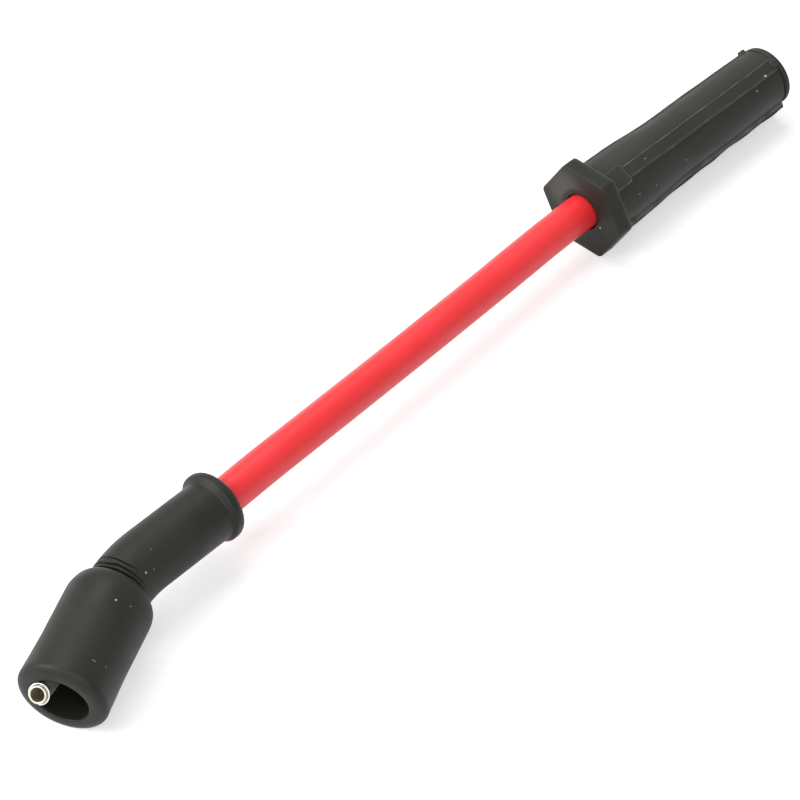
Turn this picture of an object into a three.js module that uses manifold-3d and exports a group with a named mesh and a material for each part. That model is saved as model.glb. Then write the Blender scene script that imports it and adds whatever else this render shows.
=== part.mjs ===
// Spark plug wire: a thick silicone ignition lead with a straight moulded boot
// for the plug at one end and a bent moulded boot for the coil at the other.
// Millimetres, +Z up. The lead lies on a table along X. It is drawn from the
// middle of the plug boot's flange face, where the wire comes out, and the last
// step puts the origin at the bottom centre of the two boots.

import * as THREE from 'three';
import { mergeVertices } from 'three/addons/utils/BufferGeometryUtils.js';
import Module from 'manifold-3d';

const wasm = await Module();
wasm.setup();

// Clearances and fineness
const SEAT_GAP = 0.3;
const BOOT_SIDES = 48;
const TERMINAL_SIDES = 24;
const WIRE_SIDES = 12;
const OVERCUT = 1;
const MERGE_WITHIN = 1e-4;
const CORNER_STEPS = 4;
const BEVEL_STEPS = 2;
const SPRING_STEPS = 20;

// Wire: outer diameter, and the route of its middle line. The first point is
// the end inside the plug boot, the last is the end inside the coil boot.
const WIRE_DIAMETER = 10.2;
const WIRE_ROUTE = [
  [25, 0, 0],
  [12, 0, 0],
  [1, 0, 0],
  [-12, -0.2, 0.03],
  [-26, -0.9, 0.12],
  [-40, -1.65, 0.24],
  [-55, -2.4, 0.42],
  [-70, -3.15, 0.64],
  [-85, -3.85, 0.92],
  [-100, -4.55, 1.24],
  [-115, -5.25, 1.6],
  [-130, -6.0, 2.0],
  [-144, -6.95, 2.4],
  [-158.3, -7.86, 2.85],
  [-172.1, -8.37, 3.3],
];

// Plug boot: hexagonal flange, waisted body, end lip
const FLANGE_FLATS = 24.8;
const FLANGE_THICKNESS = 5;
const FLANGE_CORNER_RADIUS = 1.3;
const FLANGE_EDGE_ROUND = 0.5;
const PLUG_BOOT_LENGTH = 78.9;
const BODY_ROOT_RADIUS = 10.2;
const BODY_SHOULDER_RADIUS = 10;
const BODY_SHOULDER_AT = 19;
const BODY_WAIST_RADIUS = 9.15;
const BODY_WAIST_AT = 34;
const BODY_SWELL_RADIUS = 9.1;
const BODY_SWELL_AT = 48;
const BODY_TIP_RADIUS = 8.75;
const BODY_STEPS = 18;
const TIP_GROOVE_WIDTH = 1;
const TIP_GROOVE_DEPTH = 0.7;
const TIP_GROOVE_SLOPE = 0.2;
const TIP_LIP_LENGTH = 2;
const TIP_LIP_ROUND = 0.8;

// Plug boot ribs: turn round the boot, height, and radius of the pad that some
// have at the flange. Each ends in a knob that bridges the groove at the tip.
const RIBS = [
  { turn: 28, height: 0.75, padRadius: 12.2 },
  { turn: 128, height: 0.6, padRadius: 11.2 },
  { turn: 208, height: 0.75, padRadius: 12.2 },
  { turn: 308, height: 0.2, padRadius: 0 },
];
const RIB_WIDTH = 3.5;
const RIB_EDGE_ROUND = 0.3;
const RIB_STEPS = 14;
const RIB_SINK = 1.2;
const PAD_WIDTH = 5.2;
const PAD_LENGTH = 7;
const PAD_ROUND_LENGTH = 3.2;
const KNOB_WIDTH = 3;
const KNOB_LENGTH = 1.6;
const KNOB_ROUND_LENGTH = 0.8;
const KNOB_OVER_LIP = 0.5;
const KNOB_ABOVE_RIB = 0.8;

// Plug boot bore: wire hole, chamber for the crimp, socket for the spark plug
const PLUG_CHAMBER_END = 46;
const PLUG_SOCKET_DIAMETER = 11.8;
const PLUG_MOUTH_CHAMFER = 0.9;

// Coil boot: collar bead, neck, elbow, cup
const COLLAR_AT_X = -146.5;
const COLLAR_RADIUS = 9.7;
const COLLAR_LENGTH = 4;
const COLLAR_NECK_BLEND = 0.8;
const NECK_RADIUS = 8.45;
const NECK_LENGTH = 39.8;
const ELBOW_BEND = 21.8;
const ELBOW_AT = 34.6;
const ELBOW_LENGTH = 16;
const ELBOW_SIDE_TURN = 21.5;
const CUP_RADIUS = 11.55;
const CUP_MOUTH_RADIUS = 12;
const CUP_LENGTH = 34.7;
const CUP_SHOULDER = 5.6;
const CUP_FLARE_FROM = 20.8;
const CUP_RIM_ROUND_LENGTH = 2.2;
const CUP_RIM_ROUND_DEPTH = 3.2;
const CUP_BORE_DIAMETER = 15;
const CUP_BORE_ROUND = 0.4;
const CUP_BORE_DEPTH = 29;

// Relief grooves over the elbow: distance before the cup's shoulder, width and
// depth of each. They run out round the back of the neck.
const RELIEFS = [
  { before: 0.55, width: 1.1, depth: 1.1 },
  { before: 3.5, width: 0.6, depth: 0.7 },
];
const RELIEF_RUN_OUT = 1.6;
const RELIEF_TURN = -60;

// Terminals: rolled sheet metal, crimped round the wire's ends
const SHEET = 0.45;
const CRIMP_LENGTH = 10;
const CRIMP_LAP = 8;
const CRIMP_GROOVE_DEPTH = 0.25;
const CRIMP_GROOVE_WIDTH = 1;
const TAPER_LENGTH = 8;
const SEAM_WIDTH = 0.8;
const COIL_SOCKET_BORE = 3.6;
const COIL_SOCKET_PROUD = 2.5;
const COIL_SOCKET_CLOSED = 5;
const COIL_TIP_LEAN = 36;
const COIL_TIP_LEAN_SIDE = 102;
const COIL_TIP_TURN_LENGTH = 3.5;
const COIL_TIP_FROM_EDGE = 0.45;
const COIL_LIP_HEIGHT = 0.12;
const PLUG_SOCKET_BORE = 6.6;
const PLUG_SOCKET_LENGTH = 13;

// Spring rings seated in a groove round each socket
const SPRING_WIRE = 0.5;
const SPRING_OPENING = 60;
const COIL_SPRING_FROM_LIP = 1.2;
const PLUG_SPRING_FROM_LIP = 6;
const SPRING_SEAT_DEPTH = 0.2;

const rubber = new THREE.MeshStandardMaterial({ color: 0x33352f, roughness: 0.62, metalness: 0 });
const silicone = new THREE.MeshStandardMaterial({ color: 0xe22b35, roughness: 0.5, metalness: 0 });
const plated = new THREE.MeshStandardMaterial({ color: 0xc9c3b4, roughness: 0.3, metalness: 0.9 });
const springSteel = new THREE.MeshStandardMaterial({ color: 0xb9b9b6, roughness: 0.25, metalness: 1 });

const radians = THREE.MathUtils.degToRad;

// A closed geometry as a solid, facing outwards
function solidOf(geometry) {
  const bare = geometry.clone();
  bare.deleteAttribute('normal');
  bare.deleteAttribute('uv');
  const merged = mergeVertices(bare, MERGE_WITHIN);
  const solid = solidFromArrays(merged.attributes.position.array, merged.index.array);
  return solid.volume() < 0 ? solidFromArrays(...turnedOut(merged)) : solid;
}

function solidFromArrays(positions, indices) {
  const mesh = new wasm.Mesh({
    numProp: 3,
    vertProperties: Float32Array.from(positions),
    triVerts: Uint32Array.from(indices),
  });
  return new wasm.Manifold(mesh);
}

function turnedOut(geometry) {
  const flipped = Uint32Array.from(geometry.index.array);
  for (let i = 0; i < flipped.length; i += 3) {
    const first = flipped[i];
    flipped[i] = flipped[i + 1];
    flipped[i + 1] = first;
  }
  return [geometry.attributes.position.array, flipped];
}

function geometryOf(solid) {
  const mesh = solid.getMesh();
  const geometry = new THREE.BufferGeometry();
  geometry.setAttribute('position', new THREE.BufferAttribute(mesh.vertProperties, mesh.numProp));
  geometry.setIndex(new THREE.BufferAttribute(mesh.triVerts, 1));
  geometry.computeVertexNormals();
  return geometry;
}

// A body of revolution about +X from [distance along X, radius] pairs, which
// start and end on the axis
function turned(profile, sides = BOOT_SIDES) {
  const points = profile.map(([along, radius]) => new THREE.Vector2(radius, along));
  return new THREE.LatheGeometry(points, sides).rotateZ(-Math.PI / 2);
}

// A ring about +X with a closed section of [distance along X, radius] pairs
function turnedRing(section, sides = BOOT_SIDES) {
  return turned([...section, section[0]], sides);
}

// Points of a rounded corner from (x0, r0) to (x1, r1), as a quarter ellipse that
// leaves the first point along the axis, or across it
function quarter(x0, r0, x1, r1, axisFirst, steps = 5) {
  const points = [];
  for (let i = 0; i <= steps; i += 1) {
    const angle = (i / steps) * Math.PI / 2;
    const a = axisFirst ? Math.sin(angle) : 1 - Math.cos(angle);
    const b = axisFirst ? 1 - Math.cos(angle) : Math.sin(angle);
    points.push([x0 + (x1 - x0) * a, r0 + (r1 - r0) * b]);
  }
  return points;
}

// Bends geometry drawn along +X: straight up to 'start', then an arc of
// 'length' that turns by 'angle' towards +Y, then straight again
function bend(geometry, start, length, angle) {
  const bent = geometry.clone();
  const position = bent.attributes.position;
  const total = radians(angle);
  const radius = length / total;
  for (let i = 0; i < position.count; i += 1) {
    const along = position.getX(i);
    const side = position.getY(i);
    const turn = total * THREE.MathUtils.clamp((along - start) / length, 0, 1);
    const before = Math.min(along, start);
    const after = Math.max(along - start - length, 0);
    const x = before + radius * Math.sin(turn) + after * Math.cos(turn) - side * Math.sin(turn);
    const y = radius * (1 - Math.cos(turn)) + after * Math.sin(turn) + side * Math.cos(turn);
    position.setXY(i, x, y);
  }
  return bent;
}

// Splits the steps of a profile into short ones from 'start' to 'end', so that
// it can follow a bend there
function finer(profile, start, end, pieces = 6) {
  const cuts = [];
  for (let i = 0; i <= pieces; i += 1) {
    cuts.push(start + (end - start) * i / pieces);
  }
  const points = [profile[0]];
  for (let i = 1; i < profile.length; i += 1) {
    const [x0, r0] = profile[i - 1];
    const [x1, r1] = profile[i];
    const inside = cuts.filter((cut) => (cut - x0) * (cut - x1) < 0);
    if (x1 < x0) inside.reverse();
    for (const cut of inside) {
      points.push([cut, r0 + (r1 - r0) * (cut - x0) / (x1 - x0)]);
    }
    points.push([x1, r1]);
  }
  return points;
}

const wireBoreRadius = WIRE_DIAMETER / 2 + SEAT_GAP;
const crimpInner = WIRE_DIAMETER / 2 + SEAT_GAP;
const crimpOuter = crimpInner + SHEET;
const chamberRadius = crimpOuter + SEAT_GAP;

const routePoints = WIRE_ROUTE.map(([x, y, z]) => new THREE.Vector3(x, y, z));
const coilWireEnd = routePoints[routePoints.length - 1];
const beforeCoilEnd = routePoints[routePoints.length - 2];
const neckDirection = coilWireEnd.clone().sub(beforeCoilEnd).normalize();
const collarCentre = coilWireEnd.clone()
  .addScaledVector(neckDirection, (COLLAR_AT_X - coilWireEnd.x) / neckDirection.x);
const coilWireInside = coilWireEnd.distanceTo(collarCentre);
const plugWireInside = WIRE_ROUTE[0][0];

function ignitionWire() {
  const section = new THREE.Shape();
  section.absarc(0, 0, WIRE_DIAMETER / 2, 0, Math.PI * 2);
  const geometry = new THREE.ExtrudeGeometry(section, {
    curveSegments: WIRE_SIDES / 2,
    steps: WIRE_ROUTE.length - 1,
    extrudePath: new THREE.CatmullRomCurve3(routePoints, false, 'chordal'),
    bevelEnabled: false,
  });
  return geometryOf(solidOf(geometry));
}

// Plug boot: flange

function hexagon(flats, cornerRadius) {
  const cornerDistance = flats / Math.sqrt(3) - cornerRadius / Math.cos(Math.PI / 6);
  const outline = new THREE.Shape();
  for (let i = 0; i < 6; i += 1) {
    const angle = i * Math.PI / 3;
    const x = cornerDistance * Math.cos(angle);
    const y = cornerDistance * Math.sin(angle);
    outline.absarc(x, y, cornerRadius, angle - Math.PI / 6, angle + Math.PI / 6);
  }
  outline.closePath();
  return outline;
}

// The hexagon has its corners at the sides, so it lies on a flat
function flange() {
  const inset = FLANGE_FLATS - 2 * FLANGE_EDGE_ROUND;
  const geometry = new THREE.ExtrudeGeometry(hexagon(inset, FLANGE_CORNER_RADIUS), {
    depth: FLANGE_THICKNESS - 2 * FLANGE_EDGE_ROUND,
    curveSegments: CORNER_STEPS,
    bevelSize: FLANGE_EDGE_ROUND,
    bevelThickness: FLANGE_EDGE_ROUND,
    bevelSegments: BEVEL_STEPS,
  });
  geometry.translate(0, 0, FLANGE_EDGE_ROUND);
  geometry.rotateZ(Math.PI / 2);
  geometry.rotateY(Math.PI / 2);
  return solidOf(geometry);
}

// Plug boot: body

const lipStart = PLUG_BOOT_LENGTH - TIP_LIP_LENGTH;
const ribEnd = lipStart - TIP_GROOVE_WIDTH;

const bodyWaistCurve = new THREE.SplineCurve([
  new THREE.Vector2(FLANGE_THICKNESS / 2, BODY_ROOT_RADIUS),
  new THREE.Vector2(BODY_SHOULDER_AT, BODY_SHOULDER_RADIUS),
  new THREE.Vector2(BODY_WAIST_AT, BODY_WAIST_RADIUS),
  new THREE.Vector2(BODY_SWELL_AT, BODY_SWELL_RADIUS),
  new THREE.Vector2(ribEnd, BODY_TIP_RADIUS),
]);
const bodyOutline = bodyWaistCurve.getPoints(BODY_STEPS).map((point) => [point.x, point.y]);

function bodyRadiusAt(along) {
  const next = bodyOutline.findIndex(([x]) => x >= along);
  if (next <= 0) return bodyOutline[next < 0 ? bodyOutline.length - 1 : 0][1];
  const [x0, r0] = bodyOutline[next - 1];
  const [x1, r1] = bodyOutline[next];
  return r0 + (r1 - r0) * (along - x0) / (x1 - x0);
}

function plugBody() {
  const groove = BODY_TIP_RADIUS - TIP_GROOVE_DEPTH;
  const profile = [
    [FLANGE_THICKNESS / 2, 0],
    ...bodyOutline,
    [ribEnd + TIP_GROOVE_SLOPE, groove],
    [lipStart - TIP_GROOVE_SLOPE, groove],
    [lipStart, BODY_TIP_RADIUS],
    ...quarter(PLUG_BOOT_LENGTH - TIP_LIP_ROUND, BODY_TIP_RADIUS,
      PLUG_BOOT_LENGTH, BODY_TIP_RADIUS - TIP_LIP_ROUND, true),
    [PLUG_BOOT_LENGTH, 0],
  ];
  return solidOf(turned(profile));
}

// A bar along X with the given [along, radius] top line and a flat underside
function raisedBar(top, width, round) {
  const floor = BODY_TIP_RADIUS - RIB_SINK;
  const side = new THREE.Shape();
  side.moveTo(top[0][0], floor);
  top.forEach(([along, radius]) => side.lineTo(along, radius - round));
  side.lineTo(top[top.length - 1][0], floor);
  side.closePath();
  const geometry = new THREE.ExtrudeGeometry(side, {
    depth: width - 2 * round,
    bevelSize: round,
    bevelThickness: round,
    bevelSegments: BEVEL_STEPS,
  });
  geometry.translate(0, 0, round - width / 2);
  geometry.rotateX(Math.PI / 2);
  return solidOf(geometry);
}

function ribBar(height) {
  const top = [];
  const start = FLANGE_THICKNESS / 2;
  for (let i = 0; i <= RIB_STEPS; i += 1) {
    const along = start + (ribEnd - RIB_EDGE_ROUND - start) * i / RIB_STEPS;
    top.push([along, bodyRadiusAt(along) + height]);
  }
  return raisedBar(top, RIB_WIDTH, RIB_EDGE_ROUND);
}

function pad(topRadius, ribHeight) {
  const end = FLANGE_THICKNESS + PAD_LENGTH;
  const low = bodyRadiusAt(end) + ribHeight;
  const top = [
    [FLANGE_THICKNESS / 2, topRadius],
    ...quarter(end - PAD_ROUND_LENGTH, topRadius, end, low, true, CORNER_STEPS),
  ];
  return raisedBar(top, PAD_WIDTH, RIB_EDGE_ROUND * 2);
}

function knob(ribHeight) {
  const start = ribEnd - KNOB_LENGTH;
  const end = lipStart + KNOB_OVER_LIP;
  const low = bodyRadiusAt(start) + ribHeight;
  const high = BODY_TIP_RADIUS + ribHeight + KNOB_ABOVE_RIB;
  const top = [
    ...quarter(start, low, start + KNOB_ROUND_LENGTH, high, false, CORNER_STEPS),
    ...quarter(end - KNOB_ROUND_LENGTH, high, end, low, true, CORNER_STEPS),
  ];
  return raisedBar(top, KNOB_WIDTH, RIB_EDGE_ROUND);
}

function plugBore() {
  const socket = PLUG_SOCKET_DIAMETER / 2;
  const mouth = PLUG_BOOT_LENGTH - PLUG_MOUTH_CHAMFER;
  const chamberStart = plugWireInside - CRIMP_LAP - 2 * SEAT_GAP;
  const profile = [
    [-OVERCUT, 0],
    [-OVERCUT, wireBoreRadius],
    [chamberStart, wireBoreRadius],
    [chamberStart, chamberRadius],
    [PLUG_CHAMBER_END, chamberRadius],
    [PLUG_CHAMBER_END, socket],
    [mouth, socket],
    [PLUG_BOOT_LENGTH + OVERCUT, socket + PLUG_MOUTH_CHAMFER + OVERCUT],
    [PLUG_BOOT_LENGTH + OVERCUT, 0],
  ];
  return solidOf(turned(profile));
}

function plugBoot() {
  let boot = plugBody().add(flange());
  for (const { turn, height, padRadius } of RIBS) {
    const pieces = [ribBar(height), knob(height)];
    if (padRadius > 0) pieces.push(pad(padRadius, height));
    for (const piece of pieces) {
      boot = boot.add(piece.rotate([turn, 0, 0]));
    }
  }
  return geometryOf(boot.subtract(plugBore()));
}

// Coil boot, drawn along +X from the collar's face and bent towards +Y

const elbowStart = ELBOW_AT - ELBOW_LENGTH / 2;
const elbowEnd = ELBOW_AT + ELBOW_LENGTH / 2;
const cupStart = NECK_LENGTH;
const cupEnd = cupStart + CUP_LENGTH;

function bendCoil(geometry) {
  return bend(geometry, elbowStart, ELBOW_LENGTH, ELBOW_BEND);
}

function coilBootOutside() {
  const bead = COLLAR_LENGTH / 2;
  const profile = [
    [0, 0],
    ...quarter(0, COLLAR_RADIUS - bead, bead, COLLAR_RADIUS, false),
    ...quarter(bead, COLLAR_RADIUS, COLLAR_LENGTH, NECK_RADIUS + COLLAR_NECK_BLEND, true, 3),
    ...quarter(COLLAR_LENGTH, NECK_RADIUS + COLLAR_NECK_BLEND,
      COLLAR_LENGTH + COLLAR_NECK_BLEND, NECK_RADIUS, false, 2),
    [cupStart, NECK_RADIUS],
    ...quarter(cupStart, NECK_RADIUS, cupStart + CUP_SHOULDER, CUP_RADIUS, false),
    [cupStart + CUP_FLARE_FROM, CUP_RADIUS],
    ...quarter(cupEnd - CUP_RIM_ROUND_LENGTH, CUP_MOUTH_RADIUS, cupEnd,
      CUP_MOUTH_RADIUS - CUP_RIM_ROUND_DEPTH, true),
    [cupEnd, 0],
  ];
  return solidOf(bendCoil(turned(finer(profile, elbowStart, elbowEnd))));
}

// A groove that is deepest over the top of the elbow and runs out underneath,
// because its ring is off centre
function reliefGroove({ before, width, depth }) {
  const start = cupStart - before - width / 2;
  const inner = NECK_RADIUS - depth + RELIEF_RUN_OUT;
  const outer = NECK_RADIUS + RELIEF_RUN_OUT + OVERCUT;
  const ring = turnedRing([
    [start, inner],
    [start + width, inner],
    [start + width, outer],
    [start, outer],
  ]);
  ring.translate(0, RELIEF_RUN_OUT, 0);
  ring.rotateX(radians(RELIEF_TURN));
  return solidOf(bendCoil(ring));
}

function coilBootBore() {
  const cup = CUP_BORE_DIAMETER / 2;
  const chamberStart = coilWireInside - CRIMP_LAP - 2 * SEAT_GAP;
  const profile = [
    [-OVERCUT, 0],
    [-OVERCUT, wireBoreRadius],
    [chamberStart, wireBoreRadius],
    [chamberStart, chamberRadius],
    [cupEnd - CUP_BORE_DEPTH, chamberRadius],
    [cupEnd - CUP_BORE_DEPTH, cup],
    ...quarter(cupEnd - CUP_BORE_ROUND, cup, cupEnd, cup + CUP_BORE_ROUND, true, 3),
    [cupEnd + OVERCUT, cup + CUP_BORE_ROUND],
    [cupEnd + OVERCUT, 0],
  ];
  return solidOf(bendCoil(turned(finer(profile, elbowStart, elbowEnd))));
}

function coilBoot() {
  let boot = coilBootOutside().subtract(coilBootBore());
  for (const relief of RELIEFS) {
    boot = boot.subtract(reliefGroove(relief));
  }
  return geometryOf(boot);
}

// Terminals, drawn along +X from the open end of the crimp

function terminalProfile(socketBore, socketLength, lipHeight, springFromLip) {
  const inner = socketBore / 2;
  const outer = inner + SHEET;
  const taperEnd = CRIMP_LENGTH + TAPER_LENGTH;
  const end = taperEnd + socketLength;
  const spring = end - springFromLip;
  const half = SPRING_WIRE / 2;
  return [
    [0, crimpInner],
    [CRIMP_LENGTH, crimpInner],
    [taperEnd, inner],
    [end, inner],
    ...quarter(end, inner + SHEET / 2, end - SHEET / 2, outer + lipHeight, false, 3),
    [end - SHEET, outer + lipHeight],
    [end - 2 * SHEET, outer],
    [spring + half, outer],
    [spring + half, outer - SPRING_SEAT_DEPTH],
    [spring - half, outer - SPRING_SEAT_DEPTH],
    [spring - half, outer],
    [taperEnd, outer],
    [CRIMP_LENGTH, crimpOuter],
    [(CRIMP_LENGTH + CRIMP_GROOVE_WIDTH) / 2, crimpOuter],
    [CRIMP_LENGTH / 2, crimpOuter - CRIMP_GROOVE_DEPTH],
    [(CRIMP_LENGTH - CRIMP_GROOVE_WIDTH) / 2, crimpOuter],
    [0, crimpOuter],
  ];
}

// The coil terminal turns at the end of its crimp, so that the socket passes the
// edge of the cup's bore on the outside of the elbow. It turns again at that edge
// and leans aside, mostly along the edge, where it stands proud of the cup.
const terminalStart = coilWireInside - CRIMP_LAP;
const socketTurn = terminalStart + CRIMP_LENGTH + TAPER_LENGTH / 2;

function pointInCup(along, side) {
  const turn = radians(ELBOW_BEND);
  const tangent = (ELBOW_LENGTH / turn) * Math.tan(turn / 2);
  const fromCorner = along - elbowStart - ELBOW_LENGTH + tangent;
  return new THREE.Vector2(
    elbowStart + tangent + fromCorner * Math.cos(turn) - side * Math.sin(turn),
    fromCorner * Math.sin(turn) + side * Math.cos(turn),
  );
}

const boreEdge = pointInCup(cupEnd - CUP_BORE_ROUND, -CUP_BORE_DIAMETER / 2);
const fromTurn = boreEdge.sub(new THREE.Vector2(socketTurn, 0));
const edgeAside = COIL_SOCKET_BORE / 2 + SHEET + COIL_TIP_FROM_EDGE;
const edgeAlong = Math.sqrt(fromTurn.lengthSq() - edgeAside ** 2);
const socketLean = THREE.MathUtils.radToDeg(fromTurn.angle() + Math.atan2(edgeAside, edgeAlong));
const edgeOnTerminal = CRIMP_LENGTH + TAPER_LENGTH / 2 + edgeAlong;
const tipTurnStart = edgeOnTerminal - COIL_TIP_TURN_LENGTH / 2;
const coilTerminalLength = edgeOnTerminal + CUP_BORE_ROUND + COIL_SOCKET_PROUD;
const coilSocketLength = coilTerminalLength - CRIMP_LENGTH - TAPER_LENGTH;

function bendSocket(geometry) {
  const side = radians(COIL_TIP_LEAN_SIDE);
  const aside = geometry.clone().rotateX(-side);
  const tipTurned = bend(aside, tipTurnStart, COIL_TIP_TURN_LENGTH, COIL_TIP_LEAN).rotateX(side);
  return bend(tipTurned, CRIMP_LENGTH, TAPER_LENGTH, socketLean);
}

// The seam where the rolled edges meet, as a slot from the crimp's open end
function seamCut(length) {
  const depth = crimpOuter + OVERCUT;
  const slot = new THREE.BoxGeometry(length + OVERCUT, SEAM_WIDTH, depth);
  slot.translate((length - OVERCUT) / 2, 0, -depth / 2);
  return solidOf(slot);
}

function coilTerminal() {
  const profile = terminalProfile(COIL_SOCKET_BORE, coilSocketLength, COIL_LIP_HEIGHT,
    COIL_SPRING_FROM_LIP);
  const taperSplit = finer(profile, CRIMP_LENGTH, CRIMP_LENGTH + TAPER_LENGTH, 4);
  const bendable = finer(taperSplit, tipTurnStart, tipTurnStart + COIL_TIP_TURN_LENGTH, 4);
  const shell = solidOf(turnedRing(bendable, TERMINAL_SIDES));
  return bendSocket(geometryOf(shell.subtract(seamCut(coilTerminalLength - COIL_SOCKET_CLOSED))));
}

function plugTerminal() {
  const length = CRIMP_LENGTH + TAPER_LENGTH + PLUG_SOCKET_LENGTH;
  const profile = terminalProfile(PLUG_SOCKET_BORE, PLUG_SOCKET_LENGTH, 0, PLUG_SPRING_FROM_LIP);
  const shell = solidOf(turnedRing(profile, TERMINAL_SIDES));
  return geometryOf(shell.subtract(seamCut(length + OVERCUT)));
}

// A round wire ring that stays open at one side
function springRing(socketBore) {
  const seat = socketBore / 2 + SHEET - SPRING_SEAT_DEPTH + SEAT_GAP;
  const radius = seat + SPRING_WIRE / 2;
  const half = radians(SPRING_OPENING / 2);
  const path = [];
  for (let i = 0; i <= SPRING_STEPS; i += 1) {
    const angle = half + (2 * Math.PI - 2 * half) * i / SPRING_STEPS;
    path.push(new THREE.Vector3(0, -radius * Math.sin(angle), -radius * Math.cos(angle)));
  }
  const section = new THREE.Shape();
  section.absarc(0, 0, SPRING_WIRE / 2, 0, Math.PI * 2);
  const geometry = new THREE.ExtrudeGeometry(section, {
    curveSegments: CORNER_STEPS,
    steps: SPRING_STEPS,
    extrudePath: new THREE.CatmullRomCurve3(path),
    bevelEnabled: false,
  });
  return solidOf(geometry);
}

function coilSpringRing() {
  const along = coilTerminalLength - COIL_SPRING_FROM_LIP;
  return bendSocket(geometryOf(springRing(COIL_SOCKET_BORE)).translate(along, 0, 0));
}

function plugSpringRing() {
  const along = CRIMP_LENGTH + TAPER_LENGTH + PLUG_SOCKET_LENGTH - PLUG_SPRING_FROM_LIP;
  return geometryOf(springRing(PLUG_SOCKET_BORE)).translate(along, 0, 0);
}

// Assembly

function named(name, geometry, material) {
  const mesh = new THREE.Mesh(geometry, material);
  mesh.name = name;
  return mesh;
}

// The neck's own frame: X along the neck from the collar, Y towards the inside
// of the bend, which is sideways and down
function coilEnd() {
  const side = new THREE.Vector3(0, 0, 1).cross(neckDirection).normalize();
  const down = neckDirection.clone().cross(side).negate().normalize();
  const turn = radians(ELBOW_SIDE_TURN);
  const inside = side.multiplyScalar(Math.cos(turn)).addScaledVector(down, Math.sin(turn));
  const third = neckDirection.clone().cross(inside);
  const basis = new THREE.Matrix4().makeBasis(neckDirection, inside, third);
  const group = new THREE.Group();
  group.quaternion.setFromRotationMatrix(basis);
  group.position.copy(collarCentre);
  const terminal = new THREE.Group();
  terminal.position.set(terminalStart, 0, 0);
  terminal.add(named('coil_terminal', coilTerminal(), plated));
  terminal.add(named('coil_terminal_spring', coilSpringRing(), springSteel));
  group.add(named('coil_boot', coilBoot(), rubber), terminal);
  return group;
}

function plugEnd() {
  const group = new THREE.Group();
  const terminal = new THREE.Group();
  terminal.position.set(plugWireInside - CRIMP_LAP, 0, 0);
  terminal.add(named('plug_terminal', plugTerminal(), plated));
  terminal.add(named('plug_terminal_spring', plugSpringRing(), springSteel));
  group.add(named('plug_boot', plugBoot(), rubber), terminal);
  return group;
}

const group = new THREE.Group();
const boots = new THREE.Group();
boots.add(plugEnd(), coilEnd());
const extent = new THREE.Box3().setFromObject(boots, true);
const middle = extent.getCenter(new THREE.Vector3());
group.add(boots, named('ignition_wire', ignitionWire(), silicone));
group.position.set(-middle.x, -middle.y, -extent.min.z);

export default group;
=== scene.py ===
"""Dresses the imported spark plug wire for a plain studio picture.

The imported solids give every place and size. Each piece here stands for one CAD
node, in the same place: a surface worked out on a grid of two parameters, finer
than the solid, with the marks that moulded rubber and pressed metal have.
Lengths of the lead are millimetres and become metres when a mesh or a material is
made. Those of the studio are metres.
"""

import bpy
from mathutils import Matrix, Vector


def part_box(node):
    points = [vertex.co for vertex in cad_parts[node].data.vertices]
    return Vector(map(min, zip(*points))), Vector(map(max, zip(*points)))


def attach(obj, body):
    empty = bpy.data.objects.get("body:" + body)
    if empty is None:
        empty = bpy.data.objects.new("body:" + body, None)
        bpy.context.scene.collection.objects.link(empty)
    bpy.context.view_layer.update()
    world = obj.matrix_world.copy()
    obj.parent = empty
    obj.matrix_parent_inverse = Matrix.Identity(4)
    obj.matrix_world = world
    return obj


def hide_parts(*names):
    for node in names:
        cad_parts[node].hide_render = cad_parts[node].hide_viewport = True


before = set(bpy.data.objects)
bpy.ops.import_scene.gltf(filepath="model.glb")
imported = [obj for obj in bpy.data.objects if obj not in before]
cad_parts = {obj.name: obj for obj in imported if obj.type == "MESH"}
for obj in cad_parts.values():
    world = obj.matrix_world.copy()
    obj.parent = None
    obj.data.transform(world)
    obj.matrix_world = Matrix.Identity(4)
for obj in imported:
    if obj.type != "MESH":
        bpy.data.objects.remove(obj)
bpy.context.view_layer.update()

import logging
import math
from dataclasses import dataclass
from enum import Enum

import bpy
import numpy as np
from mathutils import Vector

LOG = logging.getLogger("spark_plug_wire")
MM = 0.001
FULL_TURN = 2 * math.pi
# The mesh attribute that keeps how much painted highlight each point has
PAINTED_LIGHT = "painted_light"
# Radii in both boots: the wire's hole, its rounded mouth, the chamber round the crimp
WIRE_HOLE = 5.4
HOLE_ROUND = 0.35
CRIMP_CHAMBER = 6.15
Array = np.ndarray
Colour = tuple[float, float, float]


class Slot(Enum):
    """The record's material slots."""

    BOOT_RUBBER = "boot_rubber"
    RED_SILICONE = "red_silicone"
    PLATED_METAL = "plated_metal"
    SPRING_STEEL = "spring_steel"


# Shapes that the pieces share


def smoothstep(low: float | Array, high: float | Array, value: Array) -> Array:
    """Rises from 0 at low to 1 at high, level at both ends.

    With t the share of the way from low to high, the result is t squared times
    3 minus 2 t.

    Args:
        low: where the rise starts.
        high: where it ends.
        value: the values to map.

    Returns:
        The risen share for each value.
    """
    share = np.clip((value - low) / (high - low), 0, 1)
    return share * share * (3 - 2 * share)


def plateau(offset: Array, half_width: float | Array, edge: float) -> Array:
    """A flat-topped bump across zero that falls off over its two edges.

    Args:
        offset: distance from the middle of the bump.
        half_width: distance at which it has fallen by half.
        edge: half the width of the fall.

    Returns:
        1 on top and 0 outside, one less the smoothstep of the distance.
    """
    return 1 - smoothstep(half_width - edge, half_width + edge, np.abs(offset))


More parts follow.
